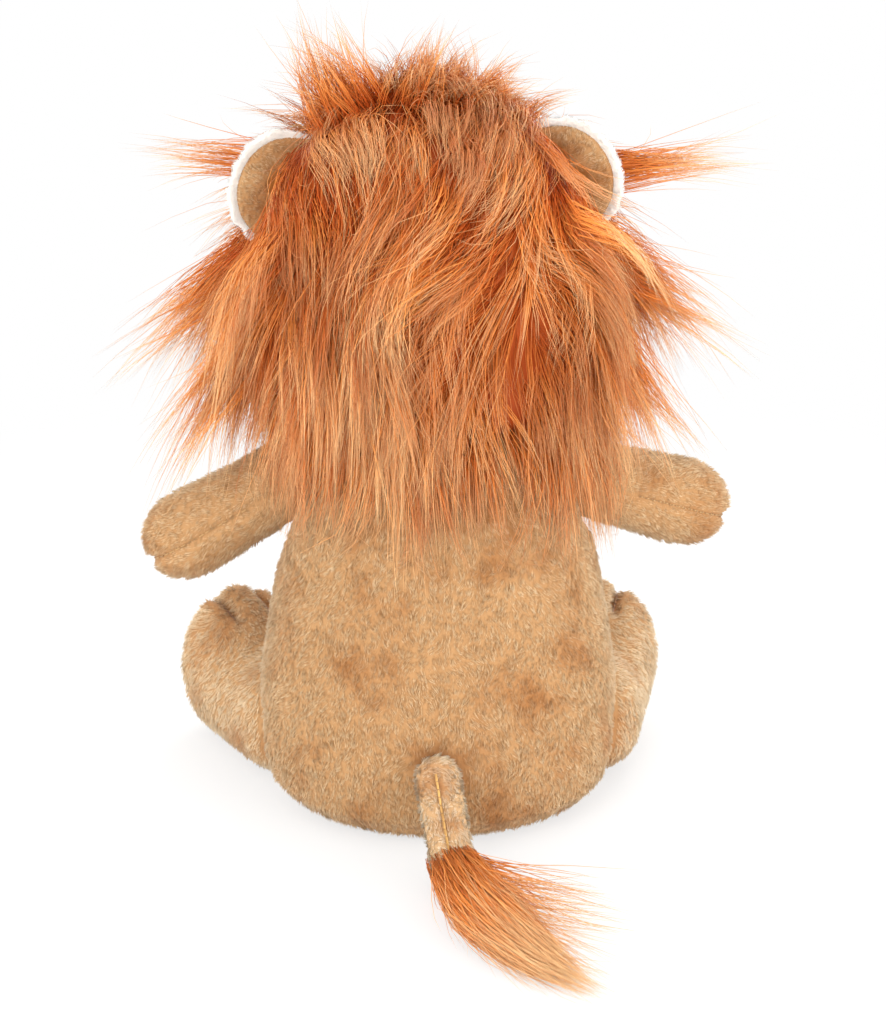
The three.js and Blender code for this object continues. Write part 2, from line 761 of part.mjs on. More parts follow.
// A limb's skin, open at its root where it is sewn in, and its filling, both flat at a floor.
function limbLayers(shape, rootRadius, floor) {
  const inset = plushWall + fillingGap;
  const mouthStart = new THREE.Vector3(-rootRadius / 2, 0, 0);
  const inwards = xAxis.clone().negate();
  const mouth = rod(mouthStart, inwards, rootRadius, rootRadius, rootRadius, limbSides);
  const outer = solidOf(shape).subtract(below(floor));
  const inner = solidOf(offset(shape, -plushWall)).subtract(below(floor + plushWall));
  const filling = solidOf(offset(shape, -inset)).subtract(below(floor + inset));
  return { skin: cutBy(outer, [inner, mouth]), filling };
}

function buildArm(lion, { side, armPlace }) {
  const arm = new THREE.Group();
  arm.applyMatrix4(armPlace);
  const { skin, filling } = limbLayers(armShape, armRootRadius, -cutOverrun);
  const seam = new THREE.Vector3();
  arm.add(
    mesh(side + "_arm_top", skin.intersect(seamSide(seam, zAxis)), tanPlush),
    mesh(side + "_arm_under", skin.intersect(seamSide(seam, down)), tanPlush),
    mesh(side + "_arm_filling", filling, fibreFilling),
  );
  lion.add(arm);
}

function buildLeg(lion, { side, legPlace }) {
  const leg = new THREE.Group();
  leg.applyMatrix4(legPlace);
  const { skin, filling } = limbLayers(legShape, thighRadius, seatFlat - thighRadius);
  const seam = new THREE.Vector3(legLength - soleDepth, 0, 0);
  leg.add(
    mesh(side + "_leg", skin.intersect(seamSide(seam, xAxis.clone().negate())), tanPlush),
    mesh(side + "_foot_sole", skin.intersect(seamSide(seam, xAxis)), tanPlush),
    mesh(side + "_leg_filling", filling, fibreFilling),
  );
  lion.add(leg);
}

function buildTail(lion) {
  const tail = new THREE.Group();
  tail.applyMatrix4(tailPlace);
  const { skin, filling } = limbLayers(tailShape, tailRadius, -tailRootHeight);
  const tuft = cutBy(solidOf(tuftShape), [solidOf(offset(tailShape, seamGap)), below(-tailRootHeight)]);
  tail.add(
    mesh("tail", skin, tanPlush),
    mesh("tail_filling", filling, fibreFilling),
    mesh("tail_tuft", tuft, maneFur),
  );
  lion.add(tail);
}

// An eye or a nose is a plastic button with a shank, and a washer grips the shank inside.
// Its frame has +Z out of the skin, and out is how far the button's back is from the skin.
function buttonFixing(place, out) {
  const curve = washerDiameter ** 2 / (4 * headWidth);
  const washerTop = -plushWall - curve - washerGap;
  const end = washerTop - washerThickness - shankLength / 3;
  const inFrame = (solid) => solidOf(geometryOf(solid).applyMatrix4(place));
  const plug = (top, bottom, width) =>
    rod(new THREE.Vector3(0, 0, bottom), zAxis, width, width, top - bottom, smallSides);
  const hole = plug(out + seamGap, end - fillingGap, shankDiameter + 2 * shankClearance);
  const washerRoom = plug(0, washerTop - washerThickness - fillingGap, washerDiameter + 2 * fillingGap);
  return {
    shank: plug(out + seamGap, end, shankDiameter),
    washer: plug(washerTop, washerTop - washerThickness, washerDiameter).subtract(hole),
    hole: inFrame(hole),
    washerRoom: inFrame(washerRoom),
  };
}

// A domed disc, rounded to a three-sided outline by its top share.
function button(out, width, height, dome, topShare) {
  const rings = [];
  for (let ring = 0; ring < smallRings; ring++) {
    const angle = ((Math.PI / 2) * ring) / smallRings;
    const outline = Array.from({ length: smallSides }, (_, i) => {
      const turn = (2 * Math.PI * i) / smallSides;
      const across = (width / 2) * Math.cos(angle) * (1 + topShare * Math.sin(turn));
      const high = (height / 2) * Math.cos(angle);
      return new THREE.Vector3(across * Math.cos(turn), high * Math.sin(turn), out + dome * Math.sin(angle));
    });
    rings.push(outline);
  }
  const back = new THREE.Vector3(0, 0, out);
  return solidOf(closeRings(back, rings, new THREE.Vector3(0, 0, out + dome)));
}

// The frame of a button on the face: +Z out of the skin and +Y as upright as it can be.
function buttonPlace(x, z) {
  const behind = new THREE.Vector3(x, 0, z);
  const skin = skinPoint(headShape, behind, yAxis.clone().negate());
  const outwards = skin.clone().normalize();
  const across = new THREE.Vector3().crossVectors(zAxis, outwards).normalize();
  const up = new THREE.Vector3().crossVectors(outwards, across);
  return new THREE.Matrix4().makeBasis(across, up, outwards).setPosition(skin);
}

function looseSolid(geometry) {
  return solidOf(offset(geometry, seamGap));
}

// The torso as the turning head meets it, about the head's centre.
function torsoTurns() {
  const [low, high] = headTravel;
  const count = Math.ceil((high - low) / turnStep);
  const loose = offset(torsoShape, neckGap).applyMatrix4(headPlace.clone().invert());
  return Array.from({ length: count + 1 }, (_, i) =>
    solidOf(loose.clone().rotateZ(-radians(low + (i * (high - low)) / count))),
  );
}

// Head: face, mane panels, muzzle, chin, nose, eyes, washers and filling, about its centre.
function buildHead(lion) {
  const head = new THREE.Group();
  head.applyMatrix4(headPlace);
  const headSkin = looseSolid(headShape);

  const eyes = places.map(({ side, sign }) => {
    const place = buttonPlace((sign * eyeSpacing) / 2, eyeRise);
    const fixing = buttonFixing(place, seamGap);
    const eye = fixing.shank.add(button(seamGap, eyeDiameter, eyeDiameter, eyeDome, 0));
    return { name: side + "_eye", place, fixing, piece: eye, finish: eyePlastic };
  });
  const nosePlace = buttonPlace(0, -noseDrop);
  const noseFixing = buttonFixing(nosePlace, noseSetOut);
  const noseDome = button(noseSetOut, noseWidth, noseHeight, noseDepth, noseTopShare);
  const nose = {
    name: "nose",
    place: nosePlace,
    fixing: noseFixing,
    piece: noseFixing.shank.add(noseDome),
    finish: nosePlastic,
  };
  const buttons = [...eyes, nose];
  const holes = buttons.map(({ fixing }) => fixing.hole);
  buttons.forEach(({ name, place, fixing, piece, finish }) => {
    const fitted = new THREE.Group();
    fitted.applyMatrix4(place);
    fitted.add(mesh(name, piece, finish), mesh(name + "_washer", fixing.washer, washerPlastic));
    head.add(fitted);
  });

  const front = skinPoint(headShape, new THREE.Vector3(0, 0, -muzzleDrop), yAxis.clone().negate());
  const lobes = [1, -1].map((sign) => {
    const centre = front.clone().addScaledVector(xAxis, (sign * muzzleCleft) / 2);
    return ellipsoid(centre, muzzleWidth - muzzleCleft, muzzleDepth, muzzleHeight);
  });
  const noseRoom = solidOf(offset(geometryOf(noseDome), seamGap).applyMatrix4(nosePlace));
  const muzzle = cutBy(joined(lobes.map(solidOf)), [headSkin, noseRoom, ...holes]);
  const chinFront = skinPoint(headShape, new THREE.Vector3(0, 0, -chinDrop), yAxis.clone().negate());
  const chin = solidOf(ellipsoid(chinFront, chinWidth, chinDepth, chinHeight));
  head.add(
    mesh("muzzle", muzzle, palePlush),
    mesh("chin", cutBy(chin, [headSkin, ...lobes.map(looseSolid)]), palePlush),
  );

  const ears = places.map((place) => buildEar(place, headShape));
  ears.forEach(({ ear }) => head.add(ear));

  const faceStart = new THREE.Vector3(0, -faceSetOut, -faceDrop);
  const faceCutter = (gap) =>
    rod(faceStart, yAxis.clone().negate(), faceWidth + gap, faceHeight + gap, cutOverrun, headSides);
  const throat = rod(new THREE.Vector3(), down, neckOpening, neckOpening, headHeight, headSides);
  const hollow = solidOf(offset(headShape, -plushWall));
  const face = cutBy(solidOf(headShape).intersect(faceCutter(0)), [hollow, ...holes]);
  head.add(mesh("face_panel", face, tanPlush));

  const fur = joined([maneBell(), ...looseLockShares.map(looseLock), solidOf(headShape)]);
  const mane = cutBy(fur, [
    hollow,
    throat,
    faceCutter(2 * seamGap),
    ...torsoTurns(),
    ...ears.map(({ way }) => way),
  ]);
  const crownSeam = new THREE.Vector3(0, 0, maneCrownSeamRise);
  const backSeam = new THREE.Vector3(0, maneBackSeamSetBack, 0);
  const around = mane.intersect(seamSide(crownSeam, down));
  const sideFur = around.intersect(seamSide(backSeam, yAxis.clone().negate()));
  const middle = new THREE.Vector3();
  head.add(
    mesh("mane_crown", mane.intersect(seamSide(crownSeam, zAxis)), maneFur),
    mesh("mane_back", around.intersect(seamSide(backSeam, yAxis)), maneFur),
    mesh("mane_left", sideFur.intersect(seamSide(middle, xAxis)), maneFur),
    mesh("mane_right", sideFur.intersect(seamSide(middle, xAxis.clone().negate())), maneFur),
  );

  const rooms = buttons.map(({ fixing }) => fixing.washerRoom);
  const filling = cutBy(solidOf(offset(headShape, -plushWall - fillingGap)), [...rooms, ...holes]);
  head.add(mesh("head_filling", filling, fibreFilling));
  lion.add(head);
}

// Ear: a tan back and a slightly larger pale lining, sewn face to face along the rim.
function buildEar({ side, earPlace }) {
  const ear = new THREE.Group();
  ear.applyMatrix4(earPlace);
  const headAt = solidOf(offset(headShape, earBaseGap).applyMatrix4(earPlace.clone().invert()));
  const seam = new THREE.Vector3();
  const layer = (rim, facing) =>
    solidOf(earForm(rim)).intersect(seamSide(seam, facing)).subtract(headAt);
  ear.add(
    mesh(side + "_ear_back", layer(0, down), tanPlush),
    mesh(side + "_ear_lining", layer(earLiningRim, zAxis), palePlush),
  );
  const { middle, spread } = travelOf(earTravel);
  const folded = earPlace.clone().multiply(new THREE.Matrix4().makeRotationY(middle));
  const way = solidOf(earForm(earLiningRim, earPlay, spread).applyMatrix4(folded));
  return { ear, way: way.subtract(solidOf(headShape)) };
}

const lion = new THREE.Group();
buildTorso(lion);
places.forEach((place) => buildArm(lion, place));
places.forEach((place) => buildLeg(lion, place));
buildTail(lion);
buildHead(lion);

export default lion;
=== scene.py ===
import math

import bmesh
import bpy
import numpy as np
from mathutils import Matrix, Vector
from mathutils.bvhtree import BVHTree
from mathutils.kdtree import KDTree


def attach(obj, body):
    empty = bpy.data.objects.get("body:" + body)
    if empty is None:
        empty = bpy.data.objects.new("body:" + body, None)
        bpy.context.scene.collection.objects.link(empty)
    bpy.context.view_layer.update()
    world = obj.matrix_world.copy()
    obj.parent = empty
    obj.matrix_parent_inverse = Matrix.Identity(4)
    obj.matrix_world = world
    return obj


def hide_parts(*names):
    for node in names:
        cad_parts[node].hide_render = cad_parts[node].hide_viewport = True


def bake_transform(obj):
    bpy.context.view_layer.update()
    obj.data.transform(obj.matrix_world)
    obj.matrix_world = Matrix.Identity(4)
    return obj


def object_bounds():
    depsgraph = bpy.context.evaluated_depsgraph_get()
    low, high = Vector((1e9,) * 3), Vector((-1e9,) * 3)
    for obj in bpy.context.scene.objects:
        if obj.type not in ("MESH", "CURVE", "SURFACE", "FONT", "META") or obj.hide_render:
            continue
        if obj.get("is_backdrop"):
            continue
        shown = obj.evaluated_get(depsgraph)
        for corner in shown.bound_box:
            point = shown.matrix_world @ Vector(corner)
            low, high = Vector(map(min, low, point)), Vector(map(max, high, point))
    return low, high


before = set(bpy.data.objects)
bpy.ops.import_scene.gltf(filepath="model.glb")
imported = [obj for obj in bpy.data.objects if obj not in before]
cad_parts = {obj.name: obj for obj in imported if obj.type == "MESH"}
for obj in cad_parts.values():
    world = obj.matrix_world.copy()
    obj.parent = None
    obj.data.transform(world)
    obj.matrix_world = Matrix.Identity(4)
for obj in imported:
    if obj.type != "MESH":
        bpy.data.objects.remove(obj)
cadLow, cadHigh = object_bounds()
scene = bpy.context.scene
scene.view_settings.view_transform = "Standard"
mm = 0.001
print("frame loaded,", len(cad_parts), "nodes")

# Where the sewn parts stand, as in the part itself
headCentre = np.array((3, -2, 177)) * mm
headHalf = (49, 46)  # across, up; plain numbers for places are in millimetres, turns in degrees
roundness = 2.25  # of the head, the ears and the neck's end, where 2 is an ellipse
limbs = {
    "left": {
        "sign": 1,
        "shoulder": (47.5, -3, 104),
        "armTurn": (-8, 32),  # round the upright, then down
        "hip": (46, -8, 21),
        "legTurn": -57,
        "earRise": 25,  # of the middle of its sewn edge
        "earRoot": (40.344, -4.156, 194.414),
    },
    "right": {
        "sign": -1,
        "shoulder": (-47.5, -3, 104),
        "armTurn": (208, 21),
        "hip": (-46, -8, 21),
        "legTurn": -102,
        "earRise": 30,
        "earRoot": (-32.735, -4.16, 197.632),
    },
}
armLength, legLength = 55, 53
earFacing, earBack = 22, 3  # outwards, backwards
tailRoot = (0, 59.599, 28)
tailTurn = 102


def placing(turn, dip, middle):
    where = Matrix.Translation(Vector(middle) * mm)
    return where @ Matrix.Rotation(math.radians(turn), 4, "Z") @ Matrix.Rotation(math.radians(dip), 4, "Y")


def earPlacing(limb):
    rise, facing, back = (math.radians(turn) for turn in (limb["earRise"], earFacing, earBack))
    out = Vector((limb["sign"] * math.cos(rise), -math.sin(back), math.sin(rise))).normalized()
    ahead = Vector((limb["sign"] * math.sin(facing), -math.cos(facing), 0))
    chord = ahead.cross(out).normalized()
    turn = Matrix((out, chord, out.cross(chord))).transposed().to_4x4()
    return Matrix.Translation(Vector(limb["earRoot"]) * mm) @ turn


for limb in limbs.values():
    limb["arm"] = placing(*limb["armTurn"], limb["shoulder"])
    limb["leg"] = placing(limb["legTurn"], 0, limb["hip"])
    limb["ear"] = earPlacing(limb)
tailPlace = placing(tailTurn, 0, tailRoot)


def localTo(place, points):
    turn = np.array(place.inverted())
    return points @ turn[:3, :3].T + turn[:3, 3]


def outOf(place, points):
    turn = np.array(place)
    return points @ turn[:3, :3].T + turn[:3, 3]


def unit(vectors):
    return vectors / np.maximum(np.linalg.norm(vectors, axis=-1, keepdims=True), 1e-12)


def smoothStep(value, start, end):
    share = np.clip((value - start) / (end - start), 0, 1)
    return share * share * (3 - 2 * share)


# A soft field of long waves, for whatever wanders over the cloth; it stays within about -1 to 1
def waves(points, size, seed, count=7):
    random = np.random.default_rng(seed)
    total = np.zeros(points.shape[:-1])
    for _ in range(count):
        direction = unit(random.normal(size=3))
        step = 2 * math.pi / (size * random.uniform(0.7, 1.5))
        total += np.sin(points @ direction * step + random.uniform(0, 2 * math.pi))
    return total / math.sqrt(count)


def linearColour(text):
    parts = [int(text[i : i + 2], 16) / 255 for i in (1, 3, 5)]
    return [p / 12.92 if p <= 0.04045 else ((p + 0.055) / 1.055) ** 2.4 for p in parts] + [1]


# Inputs are values or other nodes' sockets
def setInputs(tree, node, inputs):
    for key, value in inputs.items():
        if isinstance(value, bpy.types.NodeSocket):
            tree.links.new(value, node.inputs[key])
        else:
            node.inputs[key].default_value = value


def addNode(tree, kind, inputs=None, **settings):
    node = tree.nodes.new(kind)
    for key, value in settings.items():
        setattr(node, key, value)
    setInputs(tree, node, inputs or {})
    return node


def newMaterial(name):
    material = bpy.data.materials.new(name)
    material.use_nodes = True
    tree = material.node_tree
    shader = next(n for n in tree.nodes if n.type == "BSDF_PRINCIPLED")
    return material, tree, shader


colourMix = {"data_type": "RGBA"}
colourProduct = {"data_type": "RGBA", "blend_type": "MULTIPLY"}


# Knitted pile: its colour runs from the root, darkened as painted shade, to the bleached tip, in blotches
# where the nap has been stroked the other way; the shade attribute mixes in the same brown as painted shade
def pileMaterial(name, look):
    material, tree, shader = newMaterial(name)
    place = addNode(tree, "ShaderNodeTexCoord").outputs["Object"]
    along, tone, shade = (
        addNode(tree, "ShaderNodeAttribute", attribute_name=key).outputs["Fac"]
        for key in ("along", "tone", "shade")
    )
    body = addNode(tree, "ShaderNodeValToRGB", {"Fac": along})
    stops = body.color_ramp.elements
    while len(stops) < len(look["ramp"]):
        stops.new(1)
    for stop, (share, colour) in zip(stops, look["ramp"]):
        stop.position = share
        stop.color = linearColour(colour)
    blotch = addNode(
        tree,
        "ShaderNodeTexNoise",
        {"Vector": place, "Scale": 1 / look["blotchSize"], "Detail": 3.0, "Roughness": 0.55},
    )
    blotchShare = addNode(
        tree,
        "ShaderNodeMapRange",
        {0: blotch.outputs["Fac"], 1: 0.44, 2: 0.76, 3: 0.0, 4: look["blotchShare"]},
        interpolation_type="SMOOTHSTEP",
    ).outputs[0]
    # The shade attribute browns the colour as a blotch does: painted shade
    both = addNode(tree, "ShaderNodeMath", {0: blotchShare, 1: shade}, operation="MAXIMUM").outputs[0]
    blotchedAndShaded = addNode(
        tree,
        "ShaderNodeMix",
        {0: both, 6: body.outputs["Color"], 7: linearColour(look["blotch"])},
        **colourMix,
    ).outputs[2]
    tint = addNode(
        tree,
        "ShaderNodeMix",
        {0: tone, 6: linearColour(look["toneLow"]), 7: linearColour(look["toneHigh"])},
        **colourMix,
    ).outputs[2]
    shaded = addNode(tree, "ShaderNodeMix", {0: 1.0, 6: blotchedAndShaded, 7: tint}, **colourProduct).outputs[2]
    if "napSize" in look:  # painted shade: soft dark gaps in the nap, longer than wide
        long = addNode(
            tree, "ShaderNodeVectorMath", {0: place, 1: (1, 1, look["napShape"])}, operation="MULTIPLY"
        ).outputs[0]
        nap = addNode(
            tree, "ShaderNodeTexNoise", {"Vector": long, "Scale": 1 / look["napSize"], "Detail": 2.0}
        )
        gap = addNode(
            tree,
            "ShaderNodeMapRange",
            {0: nap.outputs["Fac"], 1: 0.3, 2: 0.5, 3: look["gapLevel"], 4: 1.0},
            interpolation_type="SMOOTHSTEP",
        ).outputs[0]
        shaded = addNode(tree, "ShaderNodeMix", {0: 1.0, 6: shaded, 7: gap}, **colourProduct).outputs[2]
    setInputs(tree, shader, {
        "Base Color": shaded,
        "Roughness": look["roughness"],
        "IOR": 1.5,
        "Specular IOR Level": look["specular"],
        "Specular Tint": linearColour(look["sheenTint"]),
        "Sheen Weight": look["sheen"],
        "Sheen Roughness": 0.45,
        "Sheen Tint": linearColour(look["sheenTint"]),
    })
    return material


# Dull and dense: short knitted pile scatters light and has a pale bloom at its edge
tanLook = {
    "ramp": [(0.0, "#9a6838"), (0.35, "#cda578"), (0.75, "#e4c7a0"), (1.0, "#f5e0c2")],
    # The blotches' brown, which the painted shade of creases and roots mixes in too
    "blotch": "#a86b34",
    "blotchSize": 21 * mm,  # as the patches in the photo
    "blotchShare": 0.7,
    # napSize, napShape and gapLevel paint shade into the gaps between clumps of nap
    "napSize": 0.9 * mm,  # between clumps of nap
    "napShape": 0.42,  # the gaps are that much shorter across than up
    "gapLevel": 0.76,
    "toneLow": "#d6c7b5",
    "toneHigh": "#ffffff",
    "roughness": 0.85,
    "specular": 0.25,
    "sheen": 0.25,
    "sheenTint": "#fff0d8",
}
paleLook = {
    "ramp": [(0.0, "#e9e0d4"), (0.4, "#f8f4ee"), (1.0, "#fffefb")],
    "blotch": "#ece3d7",
    "blotchSize": 11 * mm,
    "blotchShare": 0.4,
    "toneLow": "#f9f9f9",
    "toneHigh": "#ffffff",
    "roughness": 0.85,
    "specular": 0.2,
    "sheen": 0.2,
    "sheenTint": "#ffffff",
}
# Long acrylic fibre has a soft gloss along its length; its ramp darkens the roots as painted shade deep in
# the mane and paints the tips paler as painted highlight
maneLook = {
    "ramp": [(0.0, "#86300b"), (0.2, "#d86624"), (0.5, "#ffa855"), (0.9, "#ffdba6")],
    "blotch": "#ad4a15",
    "blotchSize": 26 * mm,
    "blotchShare": 0.3,
    "toneLow": "#cc9a86",
    "toneHigh": "#ffffff",
    "roughness": 0.38,
    "specular": 0.4,
    "sheen": 0.05,
    "sheenTint": "#ffd08c",
}
tanPile = pileMaterial("polyester short pile, tan", tanLook)
palePile = pileMaterial("polyester short pile, off white", paleLook)
manePile = pileMaterial("acrylic long pile, russet", maneLook)


# Moulded plastic, glossy where the tool is polished, with a faint orange peel
def plasticMaterial(name, look):
    material, tree, shader = newMaterial(name)
    place = addNode(tree, "ShaderNodeTexCoord").outputs["Object"]
    peel = addNode(tree, "ShaderNodeTexNoise", {"Vector": place, "Scale": 1 / look["grain"], "Detail": 2.0})
    colour = addNode(
        tree,
        "ShaderNodeMix",
        {0: peel.outputs["Fac"], 6: linearColour(look["dark"]), 7: linearColour(look["light"])},
        **colourMix,
    ).outputs[2]
    bump = addNode(
        tree,
        "ShaderNodeBump",
        {"Height": peel.outputs["Fac"], "Strength": look["bump"], "Distance": 0.05 * mm},
    )
    setInputs(tree, shader, {
        "Base Color": colour, "Normal": bump.outputs["Normal"], "Roughness": look["roughness"], "IOR": 1.49
    })
    return material


eyePlastic = plasticMaterial(
    "acrylic safety eye, black",
    {"dark": "#0d0907", "light": "#1b120d", "grain": 1.5 * mm, "bump": 0.05, "roughness": 0.08},
)
nosePlastic = plasticMaterial(
    "polypropylene nose, dark brown",
    {"dark": "#3a2015", "light": "#4d2c1d", "grain": 0.5 * mm, "bump": 0.35, "roughness": 0.42},
)
washerPlastic = plasticMaterial(
    "polypropylene washer, natural",
    {"dark": "#dedbd2", "light": "#eceae4", "grain": 0.8 * mm, "bump": 0.2, "roughness": 0.5},
)


plySize = 0.5 * mm  # coarser than the real 0.2 mm, so that it shows


# Twisted polyester sewing thread, dull with a little sheen
def threadMaterial(name, dark, light):
    material, tree, shader = newMaterial(name)
    place = addNode(tree, "ShaderNodeTexCoord").outputs["Object"]
    ply = addNode(
        tree,
        "ShaderNodeTexWave",
        {"Vector": place, "Scale": 1 / plySize / 6.28, "Distortion": 2.0, "Detail": 1.0},
        bands_direction="DIAGONAL",
    )
    colour = addNode(
        tree,
        "ShaderNodeMix",
        {0: ply.outputs["Fac"], 6: linearColour(dark), 7: linearColour(light)},
        **colourMix,
    ).outputs[2]
    bump = addNode(
        tree, "ShaderNodeBump", {"Height": ply.outputs["Fac"], "Strength": 0.4, "Distance": 0.1 * mm}
    )
    setInputs(tree, shader, {
        "Base Color": colour, "Normal": bump.outputs["Normal"], "Roughness": 0.6, "Sheen Weight": 0.2
    })
    return material


mouthThread = threadMaterial("embroidery thread, dark brown", "#3b2014", "#5d3a26")
toeThread = threadMaterial("embroidery thread, brown", "#7d5330", "#a3744a")
armThread = threadMaterial("sewing thread, tan", "#8f6a3f", "#bd9560")
seamThread = threadMaterial("sewing thread, ochre", "#a8793a", "#d3a55c")
print("materials made")


def linked(name, mesh):
    piece = bpy.data.objects.new(name, mesh)
    scene.collection.objects.link(piece)
    return piece


def fromBmesh(name, bm):
    mesh = bpy.data.meshes.new(name)
    bm.to_mesh(mesh)
    bm.free()
    return linked(name, mesh)


# A round operator gives its faces in another order each run, and a pile's places are drawn by
# that order, so the faces are put in the order of their points
def sortFaces(bm):
    bm.verts.index_update()
    bm.faces.sort(key=lambda face: sum(v.index * 10000**place for place, v in enumerate(face.verts[:3])))


def bakeModifier(piece, kind, **settings):
    modifier = piece.modifiers.new(kind, kind)
    for key, value in settings.items():
        setattr(modifier, key, value)
    shown = piece.evaluated_get(bpy.context.evaluated_depsgraph_get())
    baked = bpy.data.meshes.new_from_object(shown)
    piece.modifiers.clear()
    old, piece.data = piece.data, baked
    bpy.data.meshes.remove(old)


def pointsOf(piece):
    flat = np.empty(3 * len(piece.data.vertices))
    piece.data.vertices.foreach_get("co", flat)
    return flat.reshape(-1, 3)


def normalsOf(piece):
    flat = np.empty(3 * len(piece.data.vertices))
    piece.data.vertices.foreach_get("normal", flat)
    return flat.reshape(-1, 3)


def setPoints(piece, points):
    piece.data.vertices.foreach_set("co", points.ravel())
    piece.data.update()


allAxes = {"use_axis_x": True, "use_axis_y": True, "use_axis_z": True}


# The frame's solids of one stuffed part as a single closed surface: joined, remeshed, and
# without the hollow shells that stay inside
def stuffedForm(name, nodes, voxel):
    bm = bmesh.new()
    for node in nodes:
        bm.from_mesh(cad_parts[node].data)
    bmesh.ops.remove_doubles(bm, verts=bm.verts, dist=0.005 * mm)
    piece = fromBmesh(name, bm)
    bakeModifier(piece, "REMESH", mode="VOXEL", voxel_size=voxel)
    bm = bmesh.new()
    bm.from_mesh(piece.data)
    left, largest = set(bm.verts), []
    while left:
        island, border = [], [left.pop()]
        while border:
            vert = border.pop()
            island.append(vert)
            for link in vert.link_edges:
                other = link.other_vert(vert)
                if other in left:
                    left.remove(other)
                    border.append(other)
        if len(island) > len(largest):
            largest = island
    keep = set(largest)
    bmesh.ops.delete(bm, geom=[v for v in bm.verts if v not in keep], context="VERTS")
    for _ in range(3):
        bmesh.ops.smooth_vert(bm, verts=bm.verts, factor=0.5, **allAxes)
    bm.to_mesh(piece.data)
    bm.free()
    return piece


air = {"mass": 0.01, "stiffness": 5, "frames": 20}  # a light cloth, in kilograms a point


# Swells a cushion by air pressure, held along its seams; no point moves further than the cap
def swell(piece, sewn, pressure, cap):
    start = pointsOf(piece)
    group = piece.vertex_groups.new(name="sewn")
    for i in np.flatnonzero(sewn):
        group.add([int(i)], 1.0, "REPLACE")
    cloth = piece.modifiers.new("air", "CLOTH")
    cloth.settings.use_pressure = True
    cloth.settings.uniform_pressure_force = pressure
    cloth.settings.mass = air["mass"]
    cloth.settings.tension_stiffness = air["stiffness"]
    cloth.settings.compression_stiffness = air["stiffness"]
    cloth.settings.vertex_group_mass = "sewn"
    cloth.settings.effector_weights.gravity = 0
    cloth.collision_settings.use_collision = False
    for step in range(air["frames"]):
        scene.frame_set(step + 1)
    shown = piece.evaluated_get(bpy.context.evaluated_depsgraph_get())
    flat = np.empty(3 * len(start))
    shown.data.vertices.foreach_get("co", flat)
    move = flat.reshape(-1, 3) - start
    piece.modifiers.clear()
    piece.vertex_groups.clear()
    scene.frame_set(1)
    size = np.linalg.norm(move, axis=1, keepdims=True)
    print("  pressure on", piece.name, "moved up to", round(float(size.max()) / mm, 2), "mm")
    setPoints(piece, start + move * np.minimum(1, cap / np.maximum(size, 1e-9)))


# Draws the skin in along a seam, by how far each point is from it
def sinkSeams(piece, distances, depth, width):
    points = pointsOf(piece)
    sink = depth * np.exp(-((distances / width) ** 2))
    setPoints(piece, points - normalsOf(piece) * sink[:, None])


def restOnGround(piece, depth=0.4 * mm):
    points = pointsOf(piece)
    points[:, 2] = np.where(points[:, 2] < depth, 0, points[:, 2])
    setPoints(piece, points)


def setAttribute(mesh, name, values):
    layer = mesh.attributes.get(name) or mesh.attributes.new(name, "FLOAT", "POINT")
    layer.data.foreach_set("value", np.ascontiguousarray(values, dtype=np.float32))


# A piece without a body here is not attached to one
def dress(piece, material, body, slot, *nodes):
    piece.data.materials.clear()
    piece.data.materials.append(material)
    piece.data.polygons.foreach_set("use_smooth", [True] * len(piece.data.polygons))
    if body:
        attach(piece, body)
    if nodes:
        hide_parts(*nodes)


def triangleMesh(name, points, triangles, attributes, normals=None):
    mesh = bpy.data.meshes.new(name)
    mesh.vertices.add(len(points))
    mesh.vertices.foreach_set("co", points.astype(np.float32).ravel())
    mesh.loops.add(3 * len(triangles))
    mesh.loops.foreach_set("vertex_index", triangles.astype(np.int32).ravel())
    mesh.polygons.add(len(triangles))
    mesh.polygons.foreach_set("loop_start", np.arange(0, 3 * len(triangles), 3, dtype=np.int32))
    mesh.update(calc_edges=True)
    for key, values in attributes.items():
        setAttribute(mesh, key, values)
    if normals is not None:
        mesh.polygons.foreach_set("use_smooth", np.ones(len(triangles), dtype=bool))
        mesh.normals_split_custom_set_from_vertices(normals)
    return mesh


mostTriangles = 190000  # in one piece of hair


